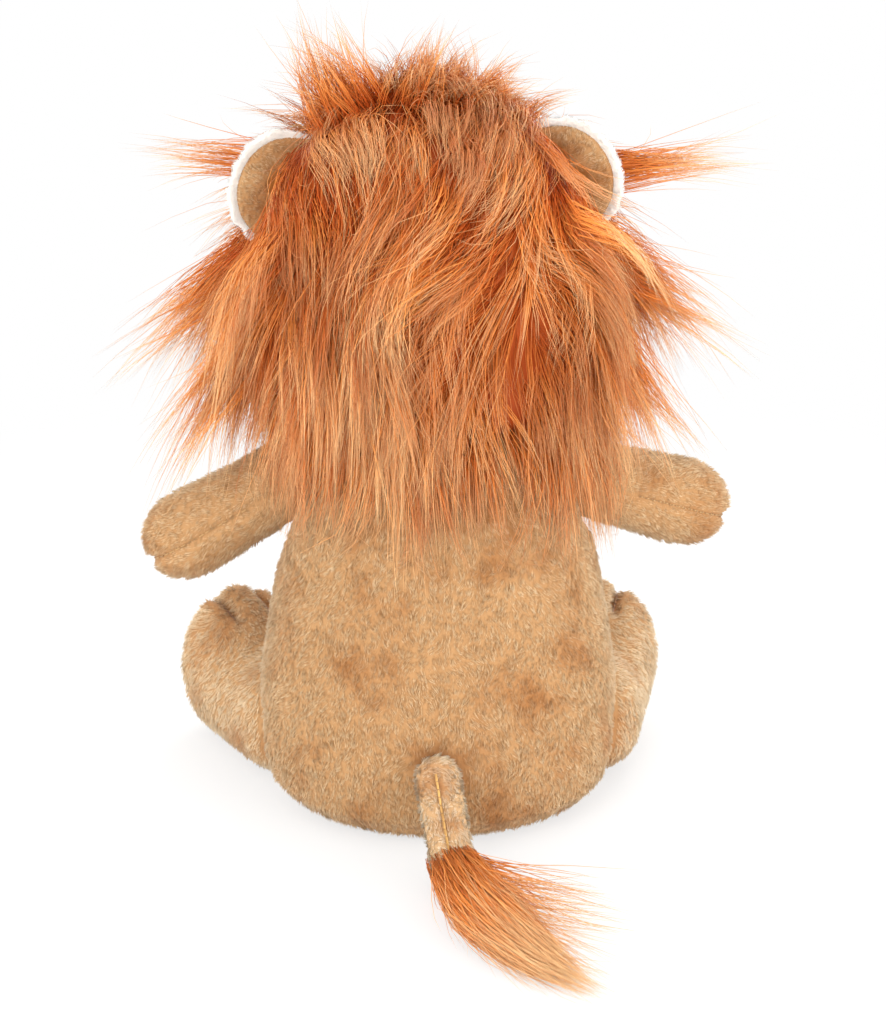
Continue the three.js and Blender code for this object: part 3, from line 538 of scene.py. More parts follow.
# Tapered three-sided fibres along paths of points (fibre, sample, xyz); the last sample is the tip
def fibreMesh(name, paths, width, taper, attributes, seed, skinNormals=None, soft=0.0, rootAlong=0.0):
    count, samples, _ = paths.shape
    rings = samples - 1
    random = np.random.default_rng(seed)
    way = unit(paths[:, 1:] - paths[:, :-1])
    ref = unit(random.normal(size=(count, 1, 3)))
    side = unit(ref - way * np.sum(ref * way, axis=2, keepdims=True))
    up = np.cross(way, side)
    half = (width[:, None] * taper[None, :rings])[..., None] / 2
    corners = []
    for k in range(3):
        angle = 2 * math.pi * k / 3
        corners.append(paths[:, :-1] + half * (math.cos(angle) * side + math.sin(angle) * up))
    ring = np.stack(corners, axis=2).reshape(count, rings * 3, 3)
    points = np.concatenate([ring, paths[:, -1:]], axis=1)
    faces = [(0, 2, 1)]
    for i in range(rings - 1):
        for k in range(3):
            a, b = 3 * i + k, 3 * i + (k + 1) % 3
            faces += [(a, b, b + 3), (a, b + 3, a + 3)]
    end = 3 * (rings - 1)
    faces += [(end + k, end + (k + 1) % 3, 3 * rings) for k in range(3)]
    size = 3 * rings + 1
    triangles = (np.array(faces)[None] + size * np.arange(count)[:, None, None]).reshape(-1, 3)
    spread = {key: np.repeat(values, size) for key, values in attributes.items()}
    along = rootAlong + (1 - rootAlong) * np.append(np.repeat(np.arange(rings) / rings, 3), 1.0)
    spread["along"] = np.tile(along, count)
    if skinNormals is None:
        return triangleMesh(name, points.reshape(-1, 3), triangles, spread)
    # Fibres are lit partly as the skin under them is, as a dense pile is
    outwards = unit(points - np.concatenate([np.repeat(paths[:, :-1], 3, axis=1), paths[:, -2:-1]], axis=1))
    normals = unit(outwards * (1 - soft) + skinNormals[:, None] * soft)
    return triangleMesh(name, points.reshape(-1, 3), triangles, spread, normals.reshape(-1, 3))


# Random places on a piece, evenly over its skin, with its normals there and its area
def surfacePlaces(piece, count, seed):
    mesh = piece.data
    mesh.calc_loop_triangles()
    corners = np.empty(3 * len(mesh.loop_triangles), dtype=np.int32)
    mesh.loop_triangles.foreach_get("vertices", corners)
    corners = corners.reshape(-1, 3)
    points, normals = pointsOf(piece), normalsOf(piece)
    a, b, c = (points[corners[:, k]] for k in range(3))
    area = np.linalg.norm(np.cross(b - a, c - a), axis=1) / 2
    random = np.random.default_rng(seed)
    pick = random.choice(len(area), size=count, p=area / area.sum())
    u, v = random.random((2, count))
    over = u + v > 1
    u[over], v[over] = 1 - u[over], 1 - v[over]
    share = np.stack([1 - u - v, u, v], axis=1)[..., None]
    places = np.sum(points[corners[pick]] * share, axis=1)
    return places, unit(np.sum(normals[corners[pick]] * share, axis=1)), area.sum()


# Short pile on a skin, in little clumps that lie along the nap
def growPile(piece, pile, material, body, slot, keep=None, nap=None, shade=None, short=None):
    area = surfacePlaces(piece, 10, 0)[2]
    places, normals, _ = surfacePlaces(piece, int(area / pile["spacing"] ** 2), pile["seed"])
    if keep is not None:
        kept = keep(places)
        places, normals = places[kept], normals[kept]
    random = np.random.default_rng(pile["seed"] + 1)
    count = len(places)
    direction = nap(places) if nap is not None else np.tile((0.0, 0.0, -1.0), (count, 1))
    lay = unit(direction - normals * np.sum(direction * normals, axis=1, keepdims=True))
    turn = 0.45 * waves(places, 16 * mm, pile["seed"] + 2) + 0.35 * waves(places, 5 * mm, pile["seed"] + 3)
    turn = (turn + random.normal(scale=0.16, size=count))[:, None]
    lay = np.cos(turn) * lay + np.sin(turn) * np.cross(normals, lay)
    lean = pile["lean"] + 9 * waves(places, 4 * mm, pile["seed"] + 4) + random.normal(scale=6, size=count)
    lean = np.radians(lean)[:, None]
    length = (pile["length"] * random.uniform(0.75, 1.15, count))[:, None]
    if short is not None:
        length = length * short(places)[:, None]
    tips = places + length * (np.cos(lean) * normals + np.sin(lean) * lay)
    middle = places + length * 0.55 * (np.cos(lean * 0.7) * normals + np.sin(lean * 0.7) * lay)
    clumps = random.choice(count, size=max(1, count // pile["perClump"]), replace=False)
    tree = KDTree(len(clumps))
    for index, i in enumerate(clumps):
        tree.insert(places[i], index)
    tree.balance()
    nearest = np.array([tree.find(p)[1] for p in places])
    clumpTips, clumpTone = tips[clumps][nearest], random.random(len(clumps))[nearest]
    tips += (clumpTips - tips) * pile["gather"]
    middle += (middle[clumps][nearest] - middle) * pile["gather"] * 0.4
    roots = places - normals * 0.25 * mm
    for spots in (roots, middle, tips):
        spots[:, 2] = np.maximum(spots[:, 2], 0.1 * mm)
    bent = pile.get("bent", False)
    paths = np.stack([roots, middle, tips] if bent else [roots, tips], axis=1)
    # A pile's lift raises its tone above the cloth's own: painted light on pieces that the lamps leave
    # darker
    tone = np.clip(0.6 * clumpTone + 0.4 * random.random(count) + pile.get("lift", 0), 0, 1)
    dark = shade(places) if shade is not None else np.zeros(count)
    width = np.full(count, pile["width"]) * random.uniform(0.8, 1.2, count)
    taper = np.array([1.0, 0.8] if bent else [1.0])
    parts = max(1, math.ceil(count / (mostTriangles // (10 if bent else 4))))
    order = np.argsort(places[:, 0]) if parts > 1 else np.arange(count)
    for part, chosen in enumerate(np.array_split(order, parts)):
        name = f"{piece.name}Pile{part + 1}"
        attributes = {"tone": tone[chosen], "shade": dark[chosen]}
        mesh = fibreMesh(
            name, paths[chosen], width[chosen], taper, attributes, pile["seed"] + 5,
            normals[chosen], 0.75, pile.get("rootAlong", 0.0),
        )
        dress(linked(name, mesh), material, body, slot)
    print("  pile on", piece.name, count, "fibres in", parts)


# The colour of the skin, which shows between its fibres: a dark pile colour, painted shade for the gaps in
# the pile, with any shade given painted on too
def baseShade(piece, shade=None, along=0.28, tone=0.35):
    count = len(piece.data.vertices)
    setAttribute(piece.data, "along", np.full(count, along))
    setAttribute(piece.data, "tone", np.full(count, tone))
    setAttribute(piece.data, "shade", shade(pointsOf(piece)) if shade is not None else np.zeros(count))


# Thread laid along lines of points, as thin closed tubes
def threadAlong(name, lines, radius, material, body, slot):
    curve = bpy.data.curves.new(name, "CURVE")
    curve.dimensions = "3D"
    for line in lines:
        spline = curve.splines.new("POLY")
        spline.points.add(len(line) - 1)
        for spot, point in zip(spline.points, line):
            spot.co = (*point, 1)
    curve.bevel_depth = radius
    curve.bevel_resolution = 2
    curve.use_fill_caps = True
    bare = bpy.data.objects.new(name + "Curve", curve)
    scene.collection.objects.link(bare)
    mesh = bpy.data.meshes.new_from_object(bare.evaluated_get(bpy.context.evaluated_depsgraph_get()))
    bpy.data.objects.remove(bare)
    dress(linked(name, mesh), material, body, slot)


# Cuts a line of points into the stitches that show, each a little thrown up in its middle
def stitches(line, pitch, share, lift):
    line = np.array(line)
    along = np.append(0, np.cumsum(np.linalg.norm(np.diff(line, axis=0), axis=1)))
    made = []
    for start in np.arange(0, along[-1] - pitch * share, pitch):
        at = start + pitch * share * np.linspace(0, 1, 4)
        made.append(np.stack([np.interp(at, along, line[:, k]) for k in range(3)], axis=1))
        made[-1][1:3] += np.array(lift)
    return made


def treeOf(*pieces):
    points, faces, start = [], [], 0
    for piece in pieces:
        points += [v.co.copy() for v in piece.data.vertices]
        faces += [[start + i for i in p.vertices] for p in piece.data.polygons]
        start = len(points)
    return BVHTree.FromPolygons(points, faces)


# Where rays from outside first meet a piece, lifted off it a little; rows of start and direction
def laidOn(tree, starts, ways, lift):
    found = []
    for start, way in zip(starts, ways):
        hit, normal, _, _ = tree.ray_cast(Vector(start), Vector(way))
        if hit is not None:
            found.append(hit + normal * lift)
    return found


torso = {
    "voxel": 3 * mm,
    "pressure": 22,
    "puff": 1.6 * mm,  # the most that the air may move a point
    "sewn": 2 * mm,  # half the width of cloth that a seam holds
    "seamDepth": 0.9 * mm,
    "seamWidth": 2.2 * mm,
    "seamLow": 5 * mm,  # the upright seams end here
    "sideSeam": 7 * mm,
    "baseSeam": 6 * mm,
    "height": 142,
    "halfWidth": 58.5,
    "halfDepth": 47,
    "sag": 94,
    "slumps": [(0.07, 13 * mm), (0.3, 3.5 * mm)],  # share that it spreads by, and up to what height
    "pile": {
        "spacing": 0.72 * mm, "length": 2.2 * mm, "width": 0.38 * mm, "lean": 63,
        "perClump": 7, "gather": 0.4, "seed": 11,
    },
}
torsoNodes = [
    "torso_base", "torso_belly", "torso_back_left", "torso_back_right", "torso_filling", "pellet_bag",
]
torsoSkin = stuffedForm("torsoSkin", torsoNodes, torso["voxel"])


def torsoSeams(points):
    above = points[:, 2] > torso["seamLow"]
    back = np.where((points[:, 1] > 0) & above, np.abs(points[:, 0]), 1)
    side = np.where(above, np.abs(points[:, 1] + torso["sideSeam"]), 1)
    base = np.abs(points[:, 2] - torso["baseSeam"])
    return np.minimum(np.minimum(back, side), base)


swell(torsoSkin, torsoSeams(pointsOf(torsoSkin)) < torso["sewn"], torso["pressure"], torso["puff"])
bakeModifier(torsoSkin, "SUBSURF", levels=1, render_levels=1)
sinkSeams(torsoSkin, torsoSeams(pointsOf(torsoSkin)), torso["seamDepth"], torso["seamWidth"])
# The pellets slump in the seat, so that it spreads towards the ground
points = pointsOf(torsoSkin)
points[:, :2] *= 1 + sum(
    share * np.exp(-((points[:, 2:] / height) ** 2)) for share, height in torso["slumps"]
)
setPoints(torsoSkin, points)
restOnGround(torsoSkin)
dress(torsoSkin, tanPile, "torso", "tan_plush", *torsoNodes)
baseShade(torsoSkin)

# No pile grows inside the limbs' roots, on the resting face or under the neck
rootBalls = [(limb["shoulder"], 16.3) for limb in limbs.values()]
rootBalls += [(limb["hip"], 22.8) for limb in limbs.values()]
rootBalls += [(tailRoot, 9.5)]
barest = 0.6 * mm  # height of the bare resting face
neckBack, neckFront = 118, 132


def torsoShows(points):
    shown = (points[:, 2] > barest) & (points[:, 2] < np.where(points[:, 1] > 0, neckBack, neckFront) * mm)
    for middle, radius in rootBalls:
        shown &= np.linalg.norm(points - np.array(middle) * mm, axis=1) > radius * mm
    random = np.random.default_rng(5)
    thin = np.exp(-((torsoSeams(points) / (0.5 * mm)) ** 2))
    return shown & (random.random(len(points)) > 0.8 * thin)


growPile(torsoSkin, torso["pile"], tanPile, "torso", "tan_plush", keep=torsoShows)
print("torso made")


# Half width, half depth and middle of the torso at a height; rows go from the seat to the neck
def torsoHalf(height):
    rows = np.array([
        (0, 0.96, 1.06, 0.06), (0.17, 1, 1.1, 0.06), (0.3, 0.98, 1.08, 0.05), (0.46, 0.92, 1, 0.03),
        (0.65, 0.83, 0.87, 0.01), (0.82, 0.74, 0.76, 0), (1, 0.62, 0.66, 0),
    ])
    share = np.clip(height / (torso["height"] * mm), 0, 1)
    width, depth, sag = (np.interp(share, rows[:, 0], rows[:, k]) for k in (1, 2, 3))
    low = np.clip(1 - height / (17 * mm), 0, 1) ** 3.2
    high = np.clip(1 - (torso["height"] * mm - height) / (18 * mm), 0, 1) ** roundness
    ends = np.maximum(1 - low, 0) ** (1 / 3.2) * np.maximum(1 - high, 0) ** (1 / roundness)
    across, deep = width * ends * torso["halfWidth"] * mm, depth * ends * torso["halfDepth"] * mm
    return across, deep, sag * torso["sag"] * mm


# 1 on the torso's skin moved out by a gap, and less inside it
def torsoLevel(points, gap):
    across, deep, sag = torsoHalf(points[:, 2])
    across, deep = np.maximum(across + gap, 1e-6), np.maximum(deep + gap, 1e-6)
    return np.sqrt((points[:, 0] / across) ** 2 + ((points[:, 1] - sag) / deep) ** 2)


def clearOfTorso(points, gap=0):
    return (torsoLevel(points, gap) > 1) | (points[:, 2] > torso["height"] * mm)


arm = {
    "voxel": 2.2 * mm,
    "pressure": 1100,
    "puff": 1.1 * mm,
    "sewn": 1.4 * mm,
    "seamDepth": 1.5 * mm,
    "seamWidth": 1.7 * mm,
    "puckerDepth": 2.6 * mm,  # where the seam ends at the hand's tip
    "puckerWidth": 4 * mm,
    "stitch": 2.4 * mm,
    "thread": 0.22 * mm,
    "pile": {
        "spacing": 0.7 * mm, "length": 2.2 * mm, "width": 0.4 * mm, "lean": 63,
        "perClump": 7, "gather": 0.36, "seed": 31,
    },
}
for side, limb in limbs.items():
    nodes = [side + "_arm_top", side + "_arm_under", side + "_arm_filling"]
    skin = stuffedForm(side + "ArmSkin", nodes, arm["voxel"])
    seam = lambda points, place=limb["arm"]: np.abs(localTo(place, points)[:, 2])
    swell(skin, seam(pointsOf(skin)) < arm["sewn"], arm["pressure"], arm["puff"])
    bakeModifier(skin, "SUBSURF", levels=1, render_levels=1)
    sinkSeams(skin, seam(pointsOf(skin)), arm["seamDepth"], arm["seamWidth"])
    local = localTo(limb["arm"], pointsOf(skin))
    toTip = np.linalg.norm(local - np.array((armLength, 0, 0)) * mm, axis=1)
    sinkSeams(skin, toTip, arm["puckerDepth"], arm["puckerWidth"])
    dress(skin, tanPile, side + "_arm", "tan_plush", *nodes)
    baseShade(skin)

    def armShows(points, seam=seam):
        random = np.random.default_rng(6)
        thin = np.exp(-((seam(points) / (0.7 * mm)) ** 2))
        return clearOfTorso(points) & (random.random(len(points)) > thin)

    # The thread of the seam shows in its groove, on both sides of the arm
    skinTree = treeOf(skin)
    lines = []
    for y in (1, -1):
        spots = np.array([(x, y * 30, 0) for x in np.linspace(14, armLength - 1, 60)]) * mm
        outwards = y * np.array(limb["arm"])[:3, 1]
        laid = laidOn(skinTree, outOf(limb["arm"], spots), np.tile(-outwards, (len(spots), 1)), 0.25 * mm)
        lines += stitches(laid, arm["stitch"], 0.7, outwards * 0.15 * mm)
    threadAlong(side + "ArmSeam", lines, arm["thread"], armThread, side + "_arm", "tan_plush")

    hand = outOf(limb["arm"], np.array([(armLength, 0, 0)]) * mm)[0] - np.array(limb["shoulder"]) * mm
    growPile(
        skin, arm["pile"], tanPile, side + "_arm", "tan_plush", keep=armShows,
        nap=lambda p, hand=hand: np.tile(hand, (len(p), 1)),
        short=lambda p, seam=seam: 0.35 + 0.65 * smoothStep(seam(p), 0.4 * mm, 3 * mm),
    )
print("arms made")

leg = {
    "voxel": 2.8 * mm,
    "pressure": 170,
    "puff": 1.3 * mm,
    "sewn": 1.6 * mm,
    "seamDepth": 1.1 * mm,
    "seamWidth": 1.8 * mm,
    "slump": 0.25,  # how much wider it is where it lies on the ground
    "slumpHeight": 10 * mm,
    "soleSeam": legLength - 6,
    "toeSpread": 6.9,
    "toeDepth": 3.6 * mm,
    "toeWidth": 2.0,
    "toeArc": (112, 22),  # the toes' thread goes round the foot's end between these turns
    "thread": 0.32 * mm,
    # lift and rootAlong paint the legs' pile lighter than the torso's: painted light for the brighter light
    # on them
    "pile": {
        "spacing": 0.73 * mm, "length": 2.2 * mm, "width": 0.4 * mm, "lean": 63,
        "perClump": 7, "gather": 0.36, "seed": 51, "lift": 0.5, "rootAlong": 0.4,
    },
}
for side, limb in limbs.items():
    nodes = [side + "_leg", side + "_foot_sole", side + "_leg_filling"]
    skin = stuffedForm(side + "LegSkin", nodes, leg["voxel"])
    seam = lambda points, place=limb["leg"]: np.abs(localTo(place, points)[:, 0] - leg["soleSeam"] * mm)
    swell(skin, seam(pointsOf(skin)) < leg["sewn"], leg["pressure"], leg["puff"])
    bakeModifier(skin, "SUBSURF", levels=1, render_levels=1)
    sinkSeams(skin, seam(pointsOf(skin)), leg["seamDepth"], leg["seamWidth"])

    def toeGroove(points, place=limb["leg"]):
        local = localTo(place, points) / mm
        across = np.exp(-(((np.abs(local[:, 1]) - leg["toeSpread"]) / leg["toeWidth"]) ** 2))
        return across * smoothStep(local[:, 2], 9, 17) * smoothStep(local[:, 0], 24, 33)

    groove = toeGroove(pointsOf(skin))
    setPoints(skin, pointsOf(skin) - normalsOf(skin) * (leg["toeDepth"] * groove)[:, None])
    local = localTo(limb["leg"], pointsOf(skin))
    low = pointsOf(skin)[:, 2]
    local[:, 1] *= 1 + leg["slump"] * np.exp(-((low / leg["slumpHeight"]) ** 2))
    setPoints(skin, outOf(limb["leg"], local))
    restOnGround(skin)

    # Painted shade: brown in the crease where the foot turns up and where the toes are drawn in, partly for
    # the nap pressed the other way there
    def footShade(points, place=limb["leg"]):
        local = localTo(place, points) / mm
        crease = np.exp(-(((local[:, 2] - 9) / 9) ** 2) - ((local[:, 1] / 13) ** 2))
        crease = crease * smoothStep(local[:, 0], 16, 30)
        crease = 0.95 * crease * (1 - smoothStep(local[:, 0], 42, 48))
        return np.clip(crease + 0.55 * toeGroove(points, place), 0, 0.9)

    dress(skin, tanPile, side + "_leg", "tan_plush", *nodes)
    baseShade(skin, footShade)

    # Embroidered lines part the toes, over the front of the foot and down its sole
    skinTree = treeOf(skin)
    toeLines = []
    for y in (1, -1):
        middle = np.array((36, y * leg["toeSpread"], 8)) * mm
        turns = np.radians(np.linspace(*leg["toeArc"], 34))
        flat = np.stack([np.cos(turns), 0 * turns, np.sin(turns)], axis=1)
        spots = outOf(limb["leg"], middle + flat * 60 * mm)
        ways = -(flat @ np.array(limb["leg"])[:3, :3].T)
        toeLines.append(laidOn(skinTree, spots, ways, 0.2 * mm))
    threadAlong(side + "ToeLines", toeLines, leg["thread"], toeThread, side + "_leg", "tan_plush")

    def legShows(points, groove=toeGroove, seam=seam):
        random = np.random.default_rng(7)
        thin = np.maximum(np.exp(-((seam(points) / (0.5 * mm)) ** 2)), groove(points) ** 6)
        shown = clearOfTorso(points) & (points[:, 2] > barest)
        return shown & (random.random(len(points)) > 0.85 * thin)

    growPile(skin, leg["pile"], tanPile, side + "_leg", "tan_plush", keep=legShows, shade=footShade)
print("legs made")

tail = {
    "voxel": 1.6 * mm,
    "length": 27,  # of the short pile; the tuft starts there
    "seamAside": -1.5,
    "seamDepth": 0.9 * mm,
    "seamWidth": 1.5 * mm,
    "stitch": 2.6 * mm,
    "thread": 0.42 * mm,
    # lift and rootAlong paint the tail's pile lighter than the torso's: painted light
    "pile": {
        "spacing": 0.6 * mm, "length": 2.2 * mm, "width": 0.36 * mm, "lean": 62,
        "perClump": 9, "gather": 0.5, "seed": 71, "lift": 0.95, "rootAlong": 0.72,
    },
}
tailSkin = stuffedForm("tailSkin", ["tail", "tail_filling"], tail["voxel"])
bakeModifier(tailSkin, "SUBSURF", levels=1, render_levels=1)
# The seam runs down the top of the tail, a little to one side
onTop = np.array([(x, tail["seamAside"], 30) for x in np.linspace(4, 30, 40)]) * mm
seamLine = laidOn(treeOf(tailSkin), outOf(tailPlace, onTop), np.tile((0.0, 0.0, -1.0), (40, 1)), 0)
seamTree = KDTree(len(seamLine))
for i, point in enumerate(seamLine):
    seamTree.insert(point, i)
seamTree.balance()
tailSeam = lambda points: np.array([seamTree.find(p)[2] for p in points])
sinkSeams(tailSkin, tailSeam(pointsOf(tailSkin)), tail["seamDepth"], tail["seamWidth"])
sunk = [p + Vector((0, 0, -0.35 * mm)) for p in seamLine]
lines = stitches(sunk, tail["stitch"], 0.85, (0, 0, 0.25 * mm))
threadAlong("tailSeam", lines, tail["thread"], seamThread, "tail", "tan_plush")
dress(tailSkin, tanPile, "tail", "tan_plush", "tail", "tail_filling")
# The tail's skin is painted lighter as well: painted light
baseShade(tailSkin, along=0.55)


def tailShows(points):
    short = localTo(tailPlace, points)[:, 0] < tail["length"] * mm
    return clearOfTorso(points) & (points[:, 2] > barest) & short & (tailSeam(points) > 0.9 * mm)


growPile(
    tailSkin, tail["pile"], tanPile, "tail", "tan_plush", keep=tailShows,
    nap=lambda p: np.tile(np.array(tailPlace)[:3, 0], (len(p), 1)),
)
print("tail made")

head = {
    "socketDepth": 1.6 * mm,  # the shank draws the cloth in round each eye
    "socketWidth": 7.5 * mm,
    "face": (40, 36),  # half width and half height of the short pile
    "faceDrop": 4,
    "buttonRoom": 5.6 * mm,
    "noseRoom": 8 * mm,
    "pile": {
        "spacing": 0.68 * mm, "length": 2.4 * mm, "width": 0.38 * mm, "lean": 60,
        "perClump": 10, "gather": 0.45, "seed": 91,
    },
    "palePile": {
        "spacing": 0.55 * mm, "length": 2.4 * mm, "width": 0.36 * mm, "lean": 55,
        "perClump": 9, "gather": 0.4, "seed": 101,
    },
}
bm = bmesh.new()
bmesh.ops.create_uvsphere(bm, u_segments=96, v_segments=64, radius=1)
# Height from the chin to the crown, then how much wider and deeper than round
headSwell = np.array([
    (0, 1, 1), (0.2, 1, 1), (0.38, 1.04, 1), (0.6, 1, 0.99), (0.8, 0.97, 0.98), (1, 0.96, 0.98),
])
for vert in bm.verts:
    height = vert.co.z
    flat = Vector((vert.co.x, vert.co.y)).normalized() if abs(height) < 0.9999 else Vector((0, 0))
    half = headHalf[0] * mm * max(1 - abs(height) ** roundness, 0) ** (1 / roundness)
    share = (height + 1) / 2
    vert.co.x = flat.x * half * np.interp(share, headSwell[:, 0], headSwell[:, 1])
    vert.co.y = flat.y * half * np.interp(share, headSwell[:, 0], headSwell[:, 2])
    vert.co.z = height * headHalf[1] * mm
bmesh.ops.translate(bm, verts=bm.verts, vec=Vector(headCentre))
sortFaces(bm)
headSkin = fromBmesh("headSkin", bm)


# The apex of a button is its furthest point from the middle of the head
def apexOf(node):
    points = pointsOf(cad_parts[node]) - headCentre
    reach = np.linalg.norm(points, axis=1)
    return points[reach.argmax()] + headCentre, unit(points[reach.argmax()])


eyes = {side: apexOf(side + "_eye") for side in limbs}
noseApex, noseOut = apexOf("nose")
points = pointsOf(headSkin)
for apex, out in eyes.values():
    away = np.linalg.norm(points - (apex - out * 4 * mm), axis=1)
    points -= out * (head["socketDepth"] * np.exp(-((away / head["socketWidth"]) ** 2)))[:, None]
setPoints(headSkin, points)
dress(headSkin, tanPile, "head", "tan_plush", "face_panel", "head_filling")
baseShade(headSkin)


def inFace(points, spare):
    local = (points - headCentre) / mm
    wide, high = head["face"]
    level = (local[:, 0] / (wide + spare)) ** 2 + ((local[:, 2] + head["faceDrop"]) / (high + spare)) ** 2
    return (local[:, 1] < 0) & (level < 1)


def clearOfButtons(points):
    clear = np.ones(len(points), bool)
    for apex, out in eyes.values():
        clear &= np.linalg.norm(points - (apex - out * 3.5 * mm), axis=1) > head["buttonRoom"]
    return clear & (np.linalg.norm((points - noseApex) / np.array((1, 1, 0.8)), axis=1) > head["noseRoom"])


fromNose = lambda points: points - (noseApex - noseOut * 8 * mm)
growPile(
    headSkin, head["pile"], tanPile, "head", "tan_plush",
    keep=lambda p: inFace(p, 2) & clearOfButtons(p), nap=fromNose,
)

for name, node in (("muzzleSkin", "muzzle"), ("chinSkin", "chin")):
    skin = stuffedForm(name, [node], 1.3 * mm)
    bakeModifier(skin, "SUBSURF", levels=1, render_levels=1)
    dress(skin, palePile, "head", "pale_plush", node)
    baseShade(skin)
    growPile(
        skin, head["palePile"], palePile, "head", "pale_plush",
        keep=lambda p: clearOfButtons(p) & (np.linalg.norm(p - headCentre, axis=1) > headHalf[0] * mm),
        nap=fromNose,
    )


def turnTo(out):
    up = Vector((0, 0, 1))
    forward = Vector(out)
    across = up.cross(forward).normalized()
    return Matrix((across, forward.cross(across), forward)).transposed().to_4x4()


shankWidth, shankLength, shankSink = 3.2 * mm, 11 * mm, 6 * mm


# A button moulded as a dome with a rounded rim, on its shank; topShare widens its upper half
def buttonForm(name, apex, out, width, height, dome, topShare=0):
    bm = bmesh.new()
    bmesh.ops.create_uvsphere(bm, u_segments=40, v_segments=24, radius=0.5)
    for vert in bm.verts:
        turn = math.atan2(vert.co.y, vert.co.x)
        vert.co.x *= width * (1 + topShare * math.sin(turn))
        vert.co.y *= height
        vert.co.z *= 2 * dome if vert.co.z > 0 else 0.5 * dome
    half = shankWidth / 2
    shank = bmesh.ops.create_cone(
        bm, segments=24, cap_ends=True, radius1=half, radius2=half, depth=shankLength
    )
    bmesh.ops.translate(bm, verts=shank["verts"], vec=(0, 0, -shankSink))
    where = Matrix.Translation(Vector(apex - out * dome)) @ turnTo(out)
    bmesh.ops.transform(bm, matrix=where, verts=bm.verts)
    sortFaces(bm)
    return fromBmesh(name, bm)


for side, (apex, out) in eyes.items():
    eye = buttonForm(side + "Eye", apex, out, 10 * mm, 10 * mm, 3.8 * mm)
    dress(eye, eyePlastic, "head", "eye_plastic", side + "_eye")
nose = buttonForm("noseButton", noseApex, noseOut, 16 * mm, 11 * mm, 6 * mm, 0.2)
dress(nose, nosePlastic, "head", "nose_plastic", "nose")
for node in ("nose_washer", "left_eye_washer", "right_eye_washer"):
    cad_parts[node].data.materials.clear()
    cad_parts[node].data.materials.append(washerPlastic)
print("head made")

# The mouth is embroidered on the muzzle: a line down from the nose, and one out to each side
muzzleTree = treeOf(bpy.data.objects["muzzleSkin"], bpy.data.objects["chinSkin"], headSkin)


def onFace(x, z, lift):
    start = Vector(headCentre) + Vector((x, -90, z)) * mm
    hit = muzzleTree.ray_cast(start, Vector((0, 1, 0)))[0]
    return hit - Vector((0, lift, 0))


mouth = {"lift": 1.1 * mm, "top": -14, "fork": -24, "halfWidth": 13, "dip": 3.2, "rise": 3.5}
cleft = [onFace(0, z, mouth["lift"]) for z in np.linspace(mouth["top"], mouth["fork"], 9)]
threadAlong("mouthCleft", [cleft], 0.55 * mm, mouthThread, "head", "nose_plastic")
for sign, name in ((1, "mouthLeft"), (-1, "mouthRight")):
    smile = []
    for share in np.linspace(0, 1, 17):
        dip = mouth["dip"] * math.sin(math.pi * min(share * 1.15, 1))
        z = mouth["fork"] - dip + mouth["rise"] * share**3
        smile.append(onFace(sign * (mouth["halfWidth"] * share), z, mouth["lift"]))
    threadAlong(name, [smile], 0.5 * mm, mouthThread, "head", "nose_plastic")

ear = {
    "voxel": 1.0 * mm,
    "rimShare": 0.83,  # of the way from the middle to the outline, where the lining rolls over
    "roll": 1.7 * mm,
    "tuck": 1.6 * mm,  # the back's edge lies that far under the lining's
    "reach": 24,  # from the middle of its sewn edge to its outline
    "halfWidth": 20.6,
    "headRoom": 47 * mm,  # no pile grows nearer to the head's middle
    "backPile": {
        "spacing": 0.52 * mm, "length": 1.8 * mm, "width": 0.36 * mm, "lean": 60,
        "perClump": 7, "gather": 0.5, "seed": 121,
    },
    "liningPile": {
        "spacing": 0.37 * mm, "length": 1.0 * mm, "width": 0.36 * mm, "lean": 42,
        "perClump": 6, "gather": 0.1, "seed": 141,
    },
}


# 0 at the middle of an ear's sewn edge and 1 on its outline
def earShareOut(local):
    out, across = np.clip(local[:, 0] / ear["reach"], 0, 2), np.abs(local[:, 1] / ear["halfWidth"])
    return (out**roundness + across**roundness) ** (1 / roundness)


